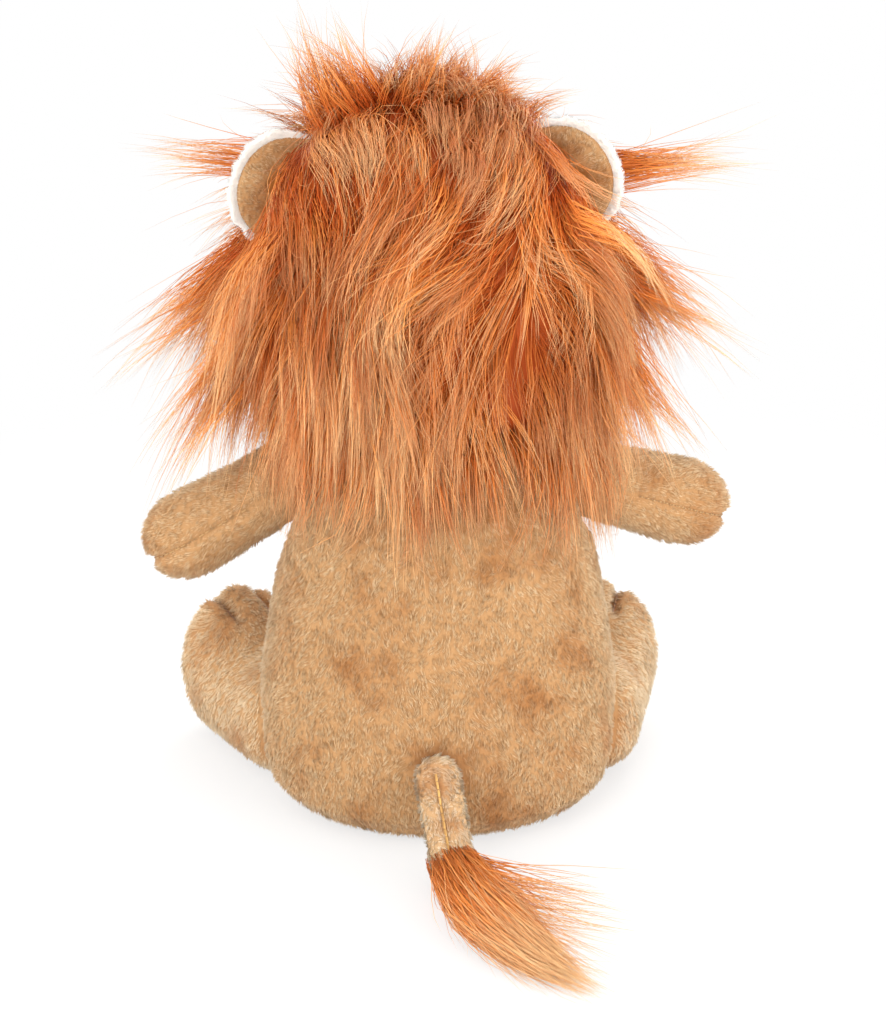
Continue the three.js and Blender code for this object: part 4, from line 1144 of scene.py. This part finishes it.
for side, limb in limbs.items():
    outwards = np.array(limb["ear"])[:3, 0]

    # The back of the ear is painted brown near its root: painted shade from the hair over it
    def earShade(points, place=limb["ear"]):
        local = localTo(place, points) / mm
        deep = 1 - smoothStep(local[:, 0] + 0.25 * np.abs(local[:, 1]), 8, 21)
        deep = np.clip(1.1 * deep + 0.2 * waves(points, 7 * mm, 9), 0, 1)
        return deep * (1 - 0.6 * smoothStep(earShareOut(local), 0.5, 0.8))

    for part, material, slot, shade in (
        ("back", tanPile, "tan_plush", earShade),
        ("lining", palePile, "pale_plush", None),
    ):
        node = f"{side}_ear_{part}"
        skin = stuffedForm(side + "Ear" + part.title(), [node], ear["voxel"])
        bakeModifier(skin, "SUBSURF", levels=1, render_levels=1)
        local = localTo(limb["ear"], pointsOf(skin))
        shareOut = earShareOut(local / mm)
        if part == "lining":
            rolled = smoothStep(shareOut, ear["rimShare"] - 0.03, 1)
            rolled *= smoothStep(local[:, 0], 6 * mm, 11 * mm)
            local[:, 2] -= ear["roll"] * rolled
        else:
            local[:, 2] += ear["tuck"] * smoothStep(shareOut, ear["rimShare"], ear["rimShare"] + 0.1)
        setPoints(skin, outOf(limb["ear"], local))
        dress(skin, material, side + "_ear", slot, node)
        baseShade(skin, shade)

        def earShows(points, place=limb["ear"], part=part):
            local = localTo(place, points) / mm
            shown = np.linalg.norm(points - headCentre, axis=1) > ear["headRoom"]
            if part == "back":
                return shown & (local[:, 2] < -0.3) & (earShareOut(local) < ear["rimShare"] + 0.02)
            return shown & ((local[:, 2] > 0.3) | (earShareOut(local) > ear["rimShare"] - 0.06))

        growPile(
            skin, ear[part + "Pile"], material, side + "_ear", slot, keep=earShows,
            nap=lambda p, outwards=outwards: np.tile(outwards, (len(p), 1)), shade=shade,
        )
print("ears made")

mane = {
    "wisps": 3300,
    "perWisp": 9,
    "locks": 330,
    "samples": 6,
    "length": (44 * mm, 80 * mm),
    "width": 0.27 * mm,  # about three real fibres, drawn as one
    "lockTurn": 13,
    "wispTurn": 6,
    "lockRise": (0.82, 1.1),  # how far a lock rises from the scalp to the mane's outside
    "wispRise": (0.78, 1.04),  # shares of its lock's
    "wispLength": (0.68, 1.12),
    "wispSpread": 2.5 * mm,
    "lockGather": 0.62,
    "bend": 0.65 * mm,
    "strays": 0.1,
    "strayReach": 7,
    "torsoRoom": (2.4 * mm, 8 * mm),  # how far the hair lies off the torso
    "armRadius": 14.5 * mm,
    "lowest": 60 * mm,
    "seed": 200,
}
# The bell's outside, from the head's middle
bell = {
    "halfWidth": 74,
    "backDepth": 56,
    "frontDepth": 50,
    "top": 56,
    "sideHem": -49,
    "backHem": -79,
    "frontHem": -53,
}
ruff = {"wisps": 420, "length": (32 * mm, 54 * mm), "free": (0.3, 0.8)}
partings = [  # on the head, away from which the hair falls: place, reach, strength
    ((-31, 42, -2), 17, 0.9),
    ((-22, 40, -32), 15, 1.0),
]
sweeps = [  # where the hair has been stroked aside: place, reach, degrees
    ((2, 44, 0), 17, -62),
    ((26, 38, -16), 14, 26),
    ((-38, 32, -8), 14, 38),
    ((20, 36, 26), 12, 16),
]
tufts = [  # root, tip, how far roots and tips scatter, wisps
    ((19, 4, 41), (37, -2, 69), 9, 13, 44),
    ((26, 6, 37), (38, 0, 55), 8, 11, 14),
    ((4, 4, 45), (-4, 2, 68), 9, 11, 34),
    ((-13, 6, 43), (-25, 2, 57), 9, 12, 32),
    ((36, -22, 21), (95, -24, 27), 6, 7, 13),
    ((-38, -20, 17), (-101, -22, 27), 9, 12, 26),
    ((44, -8, 0), (92, -12, -36), 11, 18, 56),
    ((45, 6, -14), (80, 10, -70), 11, 18, 48),
    ((-45, -6, 0), (-91, -10, -31), 11, 18, 50),
    ((-45, 8, -16), (-77, 8, -65), 11, 18, 42),
    ((-6, -8, 45), (-11, -4, 60), 10, 11, 26),
    ((12, -8, 44), (16, -6, 60), 10, 10, 18),
    ((-4, -2, 46), (-5, 16, 60), 12, 10, 26),
    ((-16, -4, 43), (-20, 14, 54), 10, 10, 18),
    ((13, -30, -34), (18, -42, -68), 9, 12, 34),
    ((-13, -30, -34), (-17, -42, -68), 9, 12, 34),
    ((0, -28, -37), (0, -40, -72), 9, 11, 34),
]


# How far the scalp is from the head's middle, in each direction
def scalpReach(ways):
    across = np.linalg.norm(ways[..., :2], axis=-1)
    high, wide = np.abs(ways[..., 2] / (headHalf[1] * mm)), across / ((headHalf[0] + 0.6) * mm)
    return (high**roundness + wide**roundness) ** (-1 / roundness)


# Height from the hem to the top, then shares of the bell's width and depth
bellRows = np.array([
    (0, 0.975, 0.95), (0.14, 1, 0.98), (0.32, 0.94, 1), (0.5, 0.82, 0.99),
    (0.68, 0.69, 0.92), (0.82, 0.57, 0.84), (0.93, 0.38, 0.64), (1, 0.02, 0.02),
])


# The hem hangs lower at the back and in front than over the arms
def hemLevel(sine):
    back, front = smoothStep(sine, 0.46, 0.74), smoothStep(-sine, 0.46, 0.74)
    side = bell["sideHem"]
    return side + back * (bell["backHem"] - side) + front * (bell["frontHem"] - side)


# How far the mane's outside is from the head's middle, in each direction
def bellReach(ways):
    across = np.maximum(np.linalg.norm(ways[..., :2], axis=-1), 1e-6)
    hem = hemLevel(ways[..., 1] / across)
    low, high = np.full(across.shape, 30.0), np.full(across.shape, 125.0)
    for _ in range(22):
        reach = (low + high) / 2
        share = np.clip((reach * ways[..., 2] - hem) / (bell["top"] - hem), 0, 1)
        wide = bell["halfWidth"] * np.interp(share, bellRows[:, 0], bellRows[:, 1])
        deep = np.where(ways[..., 1] > 0, bell["backDepth"], bell["frontDepth"])
        deep = np.interp(share, bellRows[:, 0], bellRows[:, 2]) * deep
        outside = (reach * ways[..., 0] / wide) ** 2 + (reach * ways[..., 1] / deep) ** 2 > 1
        low, high = np.where(outside, low, reach), np.where(outside, reach, high)
    return high * mm


# Vectors turned about axes that they are square to
def turned(vectors, axes, angle):
    cosine, sine = np.cos(angle)[..., None], np.sin(angle)[..., None]
    return vectors * cosine + np.cross(axes, vectors) * sine


# The hair is combed from the brow over the crown, down at the back and out past the cheeks
def combing(ways):
    brow = unit(np.array((0, -0.72, 0.69)))
    fromBrow = unit(-brow + ways * np.sum(ways * brow, axis=-1, keepdims=True))
    down = unit(np.array((0, 0, -1.0)) + ways * ways[..., 2:3])
    away = unit(np.array((0, 1.0, 0)) - ways * ways[..., 1:2])
    upper = smoothStep(ways[..., 2], -0.15, 0.45)[..., None]
    front = smoothStep(-ways[..., 1], 0.1, 0.75)[..., None]
    comb = fromBrow * upper + down * (1 - upper)
    comb = comb * (1 - 0.8 * front) + away * front
    for centre, reach, strength in partings:
        aside = ways - unit(np.array(centre, float))
        far = np.linalg.norm(aside, axis=-1, keepdims=True) * headHalf[0]
        aside = unit(aside) * np.array((1, 1, 0.35))
        comb = comb + aside * strength * np.exp(-((far / reach) ** 2)) * np.minimum(far / 6, 1)
    comb = unit(comb - ways * np.sum(comb * ways, axis=-1, keepdims=True))
    angle = np.zeros(ways.shape[:-1])
    for centre, reach, degrees in sweeps:
        far = np.linalg.norm(ways - unit(np.array(centre, float)), axis=-1) * headHalf[0]
        angle += math.radians(degrees) * np.exp(-((far / reach) ** 2))
    return turned(comb, ways, angle)


# Lays the middle line of each wisp: it leaves the scalp, then follows the mane's outside
def layWisps(ways, traits, steps=16):
    position, path = ways.copy(), []
    for step in range(steps + 1):
        share = step / steps
        rise = traits["rise"] * (1 - (1 - share) ** 1.9)
        inner, outer = scalpReach(position), bellReach(position)
        reach = inner + rise * (outer - inner)
        path.append(position * reach[:, None])
        comb = turned(combing(position), position, traits["turn"])
        position = unit(position + comb * (traits["length"] * 1.25 / steps / reach)[:, None])
    path = np.stack(path, axis=1)
    outwards = unit(ways * 0.75 + turned(combing(ways), ways, traits["turn"]) * 0.75)
    share = np.linspace(0, 1, steps + 1)[None, :, None]
    ray = path[:, :1] + outwards[:, None] * share * traits["length"][:, None, None]
    ray[..., 2] -= (share[..., 0] ** 2) * 7 * mm
    return path + (ray - path) * traits["free"][:, None, None] * np.minimum(share * 2, 1)


# Each path cut to its length, with points evenly along it
def resampled(path, length, samples):
    step = np.linalg.norm(np.diff(path, axis=1), axis=2)
    along = np.concatenate([np.zeros((len(path), 1)), np.cumsum(step, axis=1)], axis=1)
    wanted = np.linspace(0, 1, samples)[None] * np.minimum(length, along[:, -1])[:, None]
    out = np.empty((len(path), samples, 3))
    for i in range(len(path)):
        for axis in range(3):
            out[i, :, axis] = np.interp(wanted[i], along[i], path[i, :, axis])
    return out


def spherePlaces(count, random):
    return unit(random.normal(size=(count, 3)))


# Where hair grows: not on the face, under the neck or in the ears' seams
def onScalp(ways):
    points = ways * scalpReach(ways)[:, None]
    grown = ways[:, 2] > -0.8
    grown &= ~inFace(points + headCentre, 0.5)
    for limb in limbs.values():
        local = localTo(limb["ear"], points + headCentre) / mm
        grown &= ~((np.abs(local[:, 2]) < 3.6) & (np.abs(local[:, 1]) < 20) & (local[:, 0] > 0))
    return grown


random = np.random.default_rng(mane["seed"])
candidates = spherePlaces(20000, random)
candidates = candidates[onScalp(candidates)]
lockWays = candidates[: mane["locks"]]
wispWays = candidates[mane["locks"] : mane["locks"] + mane["wisps"]]
lockOf = (wispWays @ lockWays.T).argmax(axis=1)
sideways = np.abs(lockWays[:, 0])
locks, wisps = mane["locks"], mane["wisps"]
shortest, longest = mane["length"]
lockTraits = {
    "turn": np.radians(random.normal(scale=mane["lockTurn"], size=locks)),
    "rise": random.uniform(*mane["lockRise"], locks),
    "length": shortest + (longest - shortest) * random.random(locks) ** 1.3,
    "free": np.clip(random.normal(0.06, 0.12, locks) + 0.35 * smoothStep(sideways, 0.6, 0.95), 0, 0.9),
}
crown = (lockWays[:, 2] > 0.8) & (random.random(locks) < 0.45)
lockTraits["free"][crown] = random.uniform(0.1, 0.55, crown.sum())
lockTone = random.random(locks)
lockPaths = layWisps(lockWays, lockTraits)
wispTraits = {
    "turn": lockTraits["turn"][lockOf] + np.radians(random.normal(scale=mane["wispTurn"], size=wisps)),
    "rise": lockTraits["rise"][lockOf] * random.uniform(*mane["wispRise"], wisps),
    "length": lockTraits["length"][lockOf] * random.uniform(*mane["wispLength"], wisps),
    "free": lockTraits["free"][lockOf],
}
wispPaths = layWisps(wispWays, wispTraits)
share = np.linspace(0, 1, wispPaths.shape[1])[None, :, None]
wispPaths += (lockPaths[lockOf] - wispPaths) * mane["lockGather"] * share**1.4
wispLength = wispTraits["length"]
wispTone = 0.7 * lockTone[lockOf] + 0.3 * random.random(wisps)

# A ruff of wisps springs forwards and outwards round the face
ruffWays = spherePlaces(60000, random)
ruffWays = ruffWays[onScalp(ruffWays)]
ruffWays = ruffWays[inFace(ruffWays * scalpReach(ruffWays)[:, None] + headCentre, 6)][: ruff["wisps"]]
ruffCount = len(ruffWays)
ruffTraits = {
    "turn": np.radians(random.normal(scale=16, size=ruffCount)),
    "rise": random.uniform(0.8, 1.1, ruffCount),
    "length": random.uniform(*ruff["length"], ruffCount),
    "free": random.uniform(*ruff["free"], ruffCount),
}
ruffPaths = layWisps(ruffWays, ruffTraits)

# Wisps that stand out of the mane, from a place on the scalp to a place in the air
tuftPaths, tuftLength, tuftTone = [], [], []
for root, tip, rootScatter, tipScatter, count in tufts:
    roots = np.array(root) + random.normal(scale=rootScatter / 2, size=(count, 3))
    ways = unit(roots)
    roots = ways * scalpReach(ways)[:, None]
    spread = np.clip(random.normal(size=(count, 3)), -1.7, 1.7) * tipScatter / 2 * (1, 1.2, 1)
    ends = (np.array(tip) + spread) * mm
    bend = roots + (ends - roots) * 0.45 + ways * 9 * mm
    curve = (1 - share) ** 2 * roots[:, None] + 2 * share * (1 - share) * bend[:, None]
    tuftPaths.append(curve + share**2 * ends[:, None])
    tuftLength.append(np.full(count, 0.2) * random.uniform(0.9, 1, count))  # the whole curve
    tuftTone.append(0.3 + 0.5 * random.random(count))
combedCount = len(wispPaths)
wispPaths = np.concatenate([wispPaths, ruffPaths, *tuftPaths])
wispLength = np.concatenate([wispLength, ruffTraits["length"], *tuftLength])
wispTone = np.concatenate([wispTone, 0.3 + 0.6 * random.random(ruffCount), *tuftTone])
wispPaths = resampled(wispPaths, wispLength, mane["samples"])


# No combed hair lies over the middle of an ear
def offEars(paths):
    clear = np.ones(len(paths), bool)
    for limb in limbs.values():
        local = localTo(limb["ear"], paths + headCentre) / mm
        over = (local[..., 0] > 11) & (local[..., 0] < 34) & (np.abs(local[..., 1]) < 23)
        clear &= ~np.any(over & (np.abs(local[..., 2]) < 30), axis=1)
    return clear


shown = offEars(wispPaths) | (np.arange(len(wispPaths)) >= combedCount)
wispPaths, wispTone = wispPaths[shown], wispTone[shown]

count = len(wispPaths) * mane["perWisp"]
owner = np.repeat(np.arange(len(wispPaths)), mane["perWisp"])
share = np.linspace(0, 1, mane["samples"])[None, :, None]
scatter = random.normal(scale=mane["wispSpread"] / 2, size=(count, 1, 3))
fibres = wispPaths[owner] + scatter * (1 - 0.72 * share**0.8)
shorter = random.uniform(0.5, 1.0, count)[:, None, None]
fibres = fibres[:, :1] + (fibres - fibres[:, :1]) * (1 - (1 - shorter) * share)
bendWay = random.normal(scale=mane["bend"], size=(count, 1, 3))
fibres = fibres + bendWay * np.sin(share * math.pi * random.uniform(0.8, 1.6, (count, 1, 1)))
stray = (random.random(count) < mane["strays"])[:, None, None]
strayWay = np.clip(random.normal(size=(count, 1, 3)), -1.8, 1.8)
fibres = fibres + stray * share**1.6 * strayWay * mane["strayReach"] * mm
fibres = fibres + headCentre


def pushFromTorso(points, gap):
    flat = points.reshape(-1, 3)
    level = torsoLevel(flat, gap)
    inside = (level < 1) & (flat[:, 2] < 140 * mm)
    factor = np.where(inside, 1 / np.maximum(level, 0.2), 1)
    sag = torsoHalf(flat[:, 2])[2]
    flat[:, 0] *= factor
    flat[:, 1] = sag + (flat[:, 1] - sag) * factor
    return flat.reshape(points.shape)


def pushFromArm(points, place, gap):
    flat = points.reshape(-1, 3)
    local = localTo(place, flat)
    along = np.clip(local[:, 0], 0, 40 * mm)
    off = local - np.stack([along, 0 * along, 0 * along], axis=1)
    far = np.linalg.norm(off, axis=1)
    room = mane["armRadius"] + gap
    inside = far < room
    off[inside] *= (room[inside] / np.maximum(far[inside], 1 * mm))[:, None]
    local[:, 1:] = off[:, 1:]
    local[:, 0] = along + off[:, 0]
    moved = outOf(place, local)
    flat[inside] = moved[inside]
    return flat.reshape(points.shape)


# The hair lies on the torso and the arms, and stays inside the room that cloth and hair may take
spare = np.repeat(random.uniform(*mane["torsoRoom"], count), mane["samples"] - 2)
fibres[:, 2:] = pushFromTorso(fibres[:, 2:], spare)
for limb in limbs.values():
    fibres[:, 2:] = pushFromArm(fibres[:, 2:], limb["arm"], spare * 0.6)
fibres[..., 2] = np.maximum(fibres[..., 2], mane["lowest"])
beyond = 0.03 * np.array(cadHigh - cadLow)
low = np.array(cadLow) - beyond - 8 * mm
high = np.array(cadHigh) + beyond + 8 * mm
fibres = np.minimum(np.maximum(fibres, low), high)

# Painted shade: the roots are darkened along the partings and on the crown, and patches of locks by
# lockShade, for the shade deep in the mane
rootWays = unit(fibres[:, 0] - headCentre)
deep = np.zeros(count)
for centre, reach, strength in partings:
    far = np.linalg.norm(rootWays - unit(np.array(centre, float)), axis=1) * headHalf[0]
    deep = np.maximum(deep, np.exp(-((far / (reach * 0.75)) ** 2)))
deep = np.maximum(deep, 0.25 * smoothStep(rootWays[:, 2], 0.72, 0.95))
tone = 0.75 * wispTone[owner] + 0.25 * random.random(count)
tone = np.clip(0.55 + 1.5 * (tone - 0.5), 0, 1) * (1 - 0.3 * deep)
lockShade = 0.6 * smoothStep(waves(rootWays, 0.3, 91), 0.35, 1.3)
shade = np.clip(np.maximum(0.85 * deep, lockShade) * random.uniform(0.5, 1, count), 0, 1)
width = mane["width"] * random.uniform(0.75, 1.2, count)
taper = np.array([1.0, 1.0, 0.9, 0.7, 0.42])
rootLocal = (fibres[:, 0] - headCentre) / mm
sides = np.where(rootLocal[:, 0] > 0, 2, 3)
panels = np.where(rootLocal[:, 2] > 28, 0, np.where(rootLocal[:, 1] > 15, 1, sides))
for panel, name in enumerate(("maneCrown", "maneBack", "maneLeft", "maneRight")):
    inPanel = np.flatnonzero(panels == panel)
    parts = max(1, math.ceil(len(inPanel) * 28 / mostTriangles))  # a fibre has 28
    inPanel = inPanel[np.argsort(rootLocal[inPanel, 0])]
    for part, chosen in enumerate(np.array_split(inPanel, parts)):
        label = f"{name}Hair{part + 1}"
        attributes = {"tone": tone[chosen], "shade": shade[chosen]}
        mesh = fibreMesh(label, fibres[chosen], width[chosen], taper, attributes, 300 + part)
        hair = linked(label, mesh)
        dress(hair, manePile, None if panel else "head", "mane_pile")
        if panel:  # the ends lie on the shoulders, which hold them back when the head turns
            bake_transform(hair)
    print("  ", name, len(inPanel), "fibres in", parts)

# The dense foot of the pile, which the long hair springs from. It is thin beside the face.
foot = {
    "share": 0.34,  # of the way from the scalp to the mane's outside
    "rimShare": 0.1,
    "rimWidth": 16,
    "rimStep": 1.5,
    "pile": {
        "spacing": 1.5 * mm, "length": 13 * mm, "width": 0.34 * mm, "lean": 52,
        "perClump": 6, "gather": 0.5, "bent": True, "seed": 351,
    },
}
bm = bmesh.new()
bmesh.ops.create_icosphere(bm, subdivisions=5, radius=1)
ways = unit(np.array([v.co[:] for v in bm.verts]))
inner, outer = scalpReach(ways), bellReach(ways)
onFront = ways * inner[:, None] + headCentre
opening = inFace(onFront, 1.5) | (ways[:, 2] < -0.82)
rim = np.ones(len(ways))
for spare in np.arange(foot["rimStep"], foot["rimWidth"], foot["rimStep"]):
    rim[inFace(onFront, foot["rimWidth"] + foot["rimStep"] - spare)] = 1 - spare / foot["rimWidth"]
thick = foot["rimShare"] + (foot["share"] - foot["rimShare"]) * rim
rough = (0.05 * waves(ways, 0.16, 77) + 0.04 * waves(ways, 0.07, 78)) * thick / foot["share"]
reach = inner + np.where(opening, -2.5 * mm, (thick + rough) * (np.minimum(outer, 90 * mm) - inner))
points = ways * reach[:, None] + headCentre
for i, vert in enumerate(bm.verts):
    vert.co = points[i]
for _ in range(2):
    bmesh.ops.smooth_vert(bm, verts=bm.verts, factor=0.4, **allAxes)
maneFoot = fromBmesh("maneFoot", bm)
dress(maneFoot, manePile, "head", "mane_pile", "mane_crown", "mane_back", "mane_left", "mane_right")
# The foot takes the dark red-brown of the hair's roots: painted shade where it shows through gaps in the
# hair
baseShade(maneFoot, along=0.08, tone=0.4)


# Only the front needs it; behind, the long hair covers the foot
def footShows(points):
    ahead = points[:, 1] < np.where(points[:, 2] > 200 * mm, -22, -6) * mm
    return onScalp(unit(points - headCentre)) & ahead


growPile(
    maneFoot, foot["pile"], manePile, "head", "mane_pile", keep=footShows,
    nap=lambda p: combing(unit(p - headCentre)),
)
print("mane made,", count, "fibres")

tuft = {
    "fibres": 3600,
    "bunches": 90,
    "samples": 6,
    "width": 0.26 * mm,
    "path": ((14.0, 1.0), (64.0, -5.0), (98.0, 27.0)),  # along and across the tail, on the ground
    "rootHalf": 7.0,
    "halfWidth": 12.5,
    "halfHeight": 9,
    "gather": 0.75,
    "strays": 0.24,
    "strayReach": (6, 6, 3),
    "sideWisps": 0.06,
    "sideReach": (-12.0, 26.0, 2.0),
    "seed": 400,
}
random = np.random.default_rng(tuft["seed"])
count, bunches = tuft["fibres"], tuft["bunches"]
# Share of the way along, then of the width and the height
swellRows = np.array([
    (0, 0.6, 0.9), (0.2, 0.9, 1), (0.4, 1, 0.9), (0.7, 0.66, 0.6), (0.9, 0.3, 0.35), (1, 0.12, 0.2),
])


def tuftPath(share):
    start, middle, end = (np.array(spot) for spot in tuft["path"])
    share = share[..., None]
    return (1 - share) ** 2 * start + 2 * share * (1 - share) * middle + share**2 * end


rootShare = random.uniform(0.0, 0.36, count)
spin = random.uniform(0, 2 * math.pi, count)
layer = np.sqrt(random.uniform(0.25, 1.05, count))
bunch = random.integers(0, bunches, count)
bunchSpin, bunchLayer = random.uniform(0, 2 * math.pi, bunches), np.sqrt(random.uniform(0.1, 1.1, bunches))
reachShare = random.uniform(0.38, 0.66, count)
paths = []
for step in range(tuft["samples"]):
    t = step / (tuft["samples"] - 1)
    share = np.minimum(rootShare + reachShare * t, 1.12)
    centre, ahead = tuftPath(share), tuftPath(share + 0.01)
    across = unit(np.stack([-(ahead - centre)[:, 1], (ahead - centre)[:, 0]], axis=1))
    wide = np.interp(share, swellRows[:, 0], swellRows[:, 1]) * tuft["halfWidth"]
    tall = np.interp(share, swellRows[:, 0], swellRows[:, 2]) * tuft["halfHeight"]
    rise = 1 - (1 - t) ** 2
    gather = tuft["gather"] * t**1.4
    x = (1 - gather) * np.cos(spin) * layer + gather * np.cos(bunchSpin[bunch]) * bunchLayer[bunch]
    z = (1 - gather) * np.sin(spin) * layer + gather * np.sin(bunchSpin[bunch]) * bunchLayer[bunch]
    halfWide = tuft["rootHalf"] + (wide - tuft["rootHalf"]) * rise
    halfTall = tuft["rootHalf"] + (tall - tuft["rootHalf"]) * rise
    flat = centre + across * (1.12 * x * halfWide + 2.5 * rise)[:, None]
    height = tall + z * halfTall
    paths.append(np.stack([flat[:, 0], flat[:, 1], height - tailRoot[2]], axis=1))
paths = np.stack(paths, axis=1)
share = np.linspace(0, 1, tuft["samples"])[None, :, None]
paths = paths + random.normal(scale=0.5, size=(count, 1, 3)) * share
stray = (random.random(count) < tuft["strays"])[:, None, None]
strayWay = np.clip(random.normal(size=(count, 1, 3)), -1.8, 1.8)
paths = paths + stray * share**1.5 * strayWay * tuft["strayReach"]
sideWisp = (random.random(count) < tuft["sideWisps"]) & (rootShare < 0.2)
paths = paths + sideWisp[:, None, None] * share**1.2 * np.array(tuft["sideReach"])
paths[..., 2] = np.maximum(paths[..., 2], 0.3 - tailRoot[2])
paths = outOf(tailPlace, paths * mm)
bunchTone = random.random(bunches)
tone = np.clip(0.2 + 0.6 * bunchTone[bunch] + 0.3 * random.random(count), 0, 1)
shade = 0.3 * (rootShare < 0.1) * random.random(count)
mesh = fibreMesh(
    "tailTuftHair", paths, tuft["width"] * random.uniform(0.8, 1.2, count),
    np.array([1.0, 1.0, 0.9, 0.72, 0.5]), {"tone": tone, "shade": shade}, 401, rootAlong=0.3,
)
dress(linked("tailTuftHair", mesh), manePile, "tail", "mane_pile")

# The tuft's dense middle, thinner and shorter than the hair round it
tuftFoot = stuffedForm("tailTuftFoot", ["tail_tuft"], 2 * mm)
points = localTo(tailPlace, pointsOf(tuftFoot))
solidStart, solidLength = 17 * mm, 80 * mm
points[:, 0] = solidStart + (points[:, 0] - solidStart) * 0.82
share = np.clip((points[:, 0] - solidStart) / solidLength, 0, 1)
centre = tuftPath(share) * mm
thin = 0.62 - 0.35 * smoothStep(share, 0.55, 0.95)
points[:, 1] = centre[:, 1] + (points[:, 1] - centre[:, 1]) * thin
ground = -tailRoot[2] * mm
points[:, 2] = ground + (points[:, 2] - ground) * (0.8 - 0.3 * share)
setPoints(tuftFoot, outOf(tailPlace, points))
bakeModifier(tuftFoot, "SUBSURF", levels=1, render_levels=1)
dress(tuftFoot, manePile, "tail", "mane_pile", "tail_tuft")
baseShade(tuftFoot, along=0.25, tone=0.5)
print("tuft made")

room = {
    "floorSize": 4,
    "paper": "#f2f2f0",
    "sky": 1.15,
    "aim": (0, 0, 0.12),
    "lamps": [  # name, place, size and watts
        ("keyLight", (0.5, 1.0, 0.7), 0.7, 5.6),
        ("fillLight", (-0.8, 0.8, 0.35), 0.8, 4.6),
        ("lowLeft", (1.0, 0.55, 0.12), 0.8, 4.6),
        ("lowRight", (-1.0, 0.55, 0.12), 0.8, 4.6),
        ("frontLight", (-0.4, -0.95, 0.8), 0.8, 5.6),
        ("topLight", (0, -0.1, 1.3), 0.9, 1.8),
    ],
    "lens": 98.9,
    "distance": 0.9,
    "downwards": 20,
    "target": (-1.6 * mm, 93.4 * mm),  # across, up
}
bm = bmesh.new()
bmesh.ops.create_grid(bm, x_segments=1, y_segments=1, size=room["floorSize"])
floor = fromBmesh("floor", bm)
floorPaint, tree, shader = newMaterial("white paper sweep")
setInputs(tree, shader, {"Base Color": linearColour(room["paper"]), "Roughness": 0.9})


# The share of rays that look at a thing straight, in a mirror or through glass
def seenRays(tree):
    path = addNode(tree, "ShaderNodeLightPath").outputs
    seen = path["Is Camera Ray"]
    for kind in ("Is Glossy Ray", "Is Transmission Ray"):
        seen = addNode(tree, "ShaderNodeMath", {0: seen, 1: path[kind]}, operation="MAXIMUM").outputs[0]
    return seen


# The paper glows white away from the lion and keeps the shadow near it
glow = addNode(tree, "ShaderNodeEmission", {"Color": (1, 1, 1, 1), "Strength": 1.0})
place = addNode(tree, "ShaderNodeTexCoord").outputs["Object"]
far = addNode(tree, "ShaderNodeVectorMath", {0: place}, operation="LENGTH").outputs["Value"]
white = addNode(
    tree, "ShaderNodeMapRange", {0: far, 1: 0.14, 2: 0.42, 3: 0.68, 4: 1.0}, interpolation_type="SMOOTHSTEP"
)
part = addNode(tree, "ShaderNodeMath", {0: seenRays(tree), 1: white.outputs[0]}, operation="MULTIPLY")
blend = addNode(tree, "ShaderNodeMixShader", {0: part.outputs[0], 1: shader.outputs[0], 2: glow.outputs[0]})
output = next(n for n in tree.nodes if n.type == "OUTPUT_MATERIAL")
setInputs(tree, output, {"Surface": blend.outputs[0]})
floor.data.materials.append(floorPaint)
floor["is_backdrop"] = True

world = bpy.data.worlds.new("room")
scene.world = world
world.use_nodes = True
tree = world.node_tree
tree.nodes.clear()
sky = addNode(tree, "ShaderNodeBackground", {"Color": (1, 1, 1, 1), "Strength": room["sky"]})
white = addNode(tree, "ShaderNodeBackground", {"Color": (1, 1, 1, 1), "Strength": 1.0})
blend = addNode(tree, "ShaderNodeMixShader", {0: seenRays(tree), 1: sky.outputs[0], 2: white.outputs[0]})
addNode(tree, "ShaderNodeOutputWorld", {"Surface": blend.outputs[0]})

for name, place, size, power in room["lamps"]:
    lamp = bpy.data.lights.new(name, "AREA")
    lamp.shape = "DISK"
    lamp.size = size
    lamp.energy = power
    box = bpy.data.objects.new(name, lamp)
    box.location = place
    box.rotation_euler = (Vector(room["aim"]) - Vector(place)).to_track_quat("-Z", "Y").to_euler()
    scene.collection.objects.link(box)

lens = bpy.data.cameras.new("camera")
lens.lens = room["lens"]
lens.sensor_width = 36
camera = bpy.data.objects.new("camera", lens)
tilt = math.radians(room["downwards"])
across, up = room["target"]
camera.location = (across, room["distance"] * math.cos(tilt), up + room["distance"] * math.sin(tilt))
camera.rotation_euler = (math.radians(90 - room["downwards"]), 0, math.pi)
scene.collection.objects.link(camera)
scene.camera = camera

low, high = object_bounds()
meshes = [piece.data for piece in scene.objects if piece.type == "MESH"]
print("triangles:", sum(len(mesh.loop_triangles) or len(mesh.polygons) for mesh in meshes))
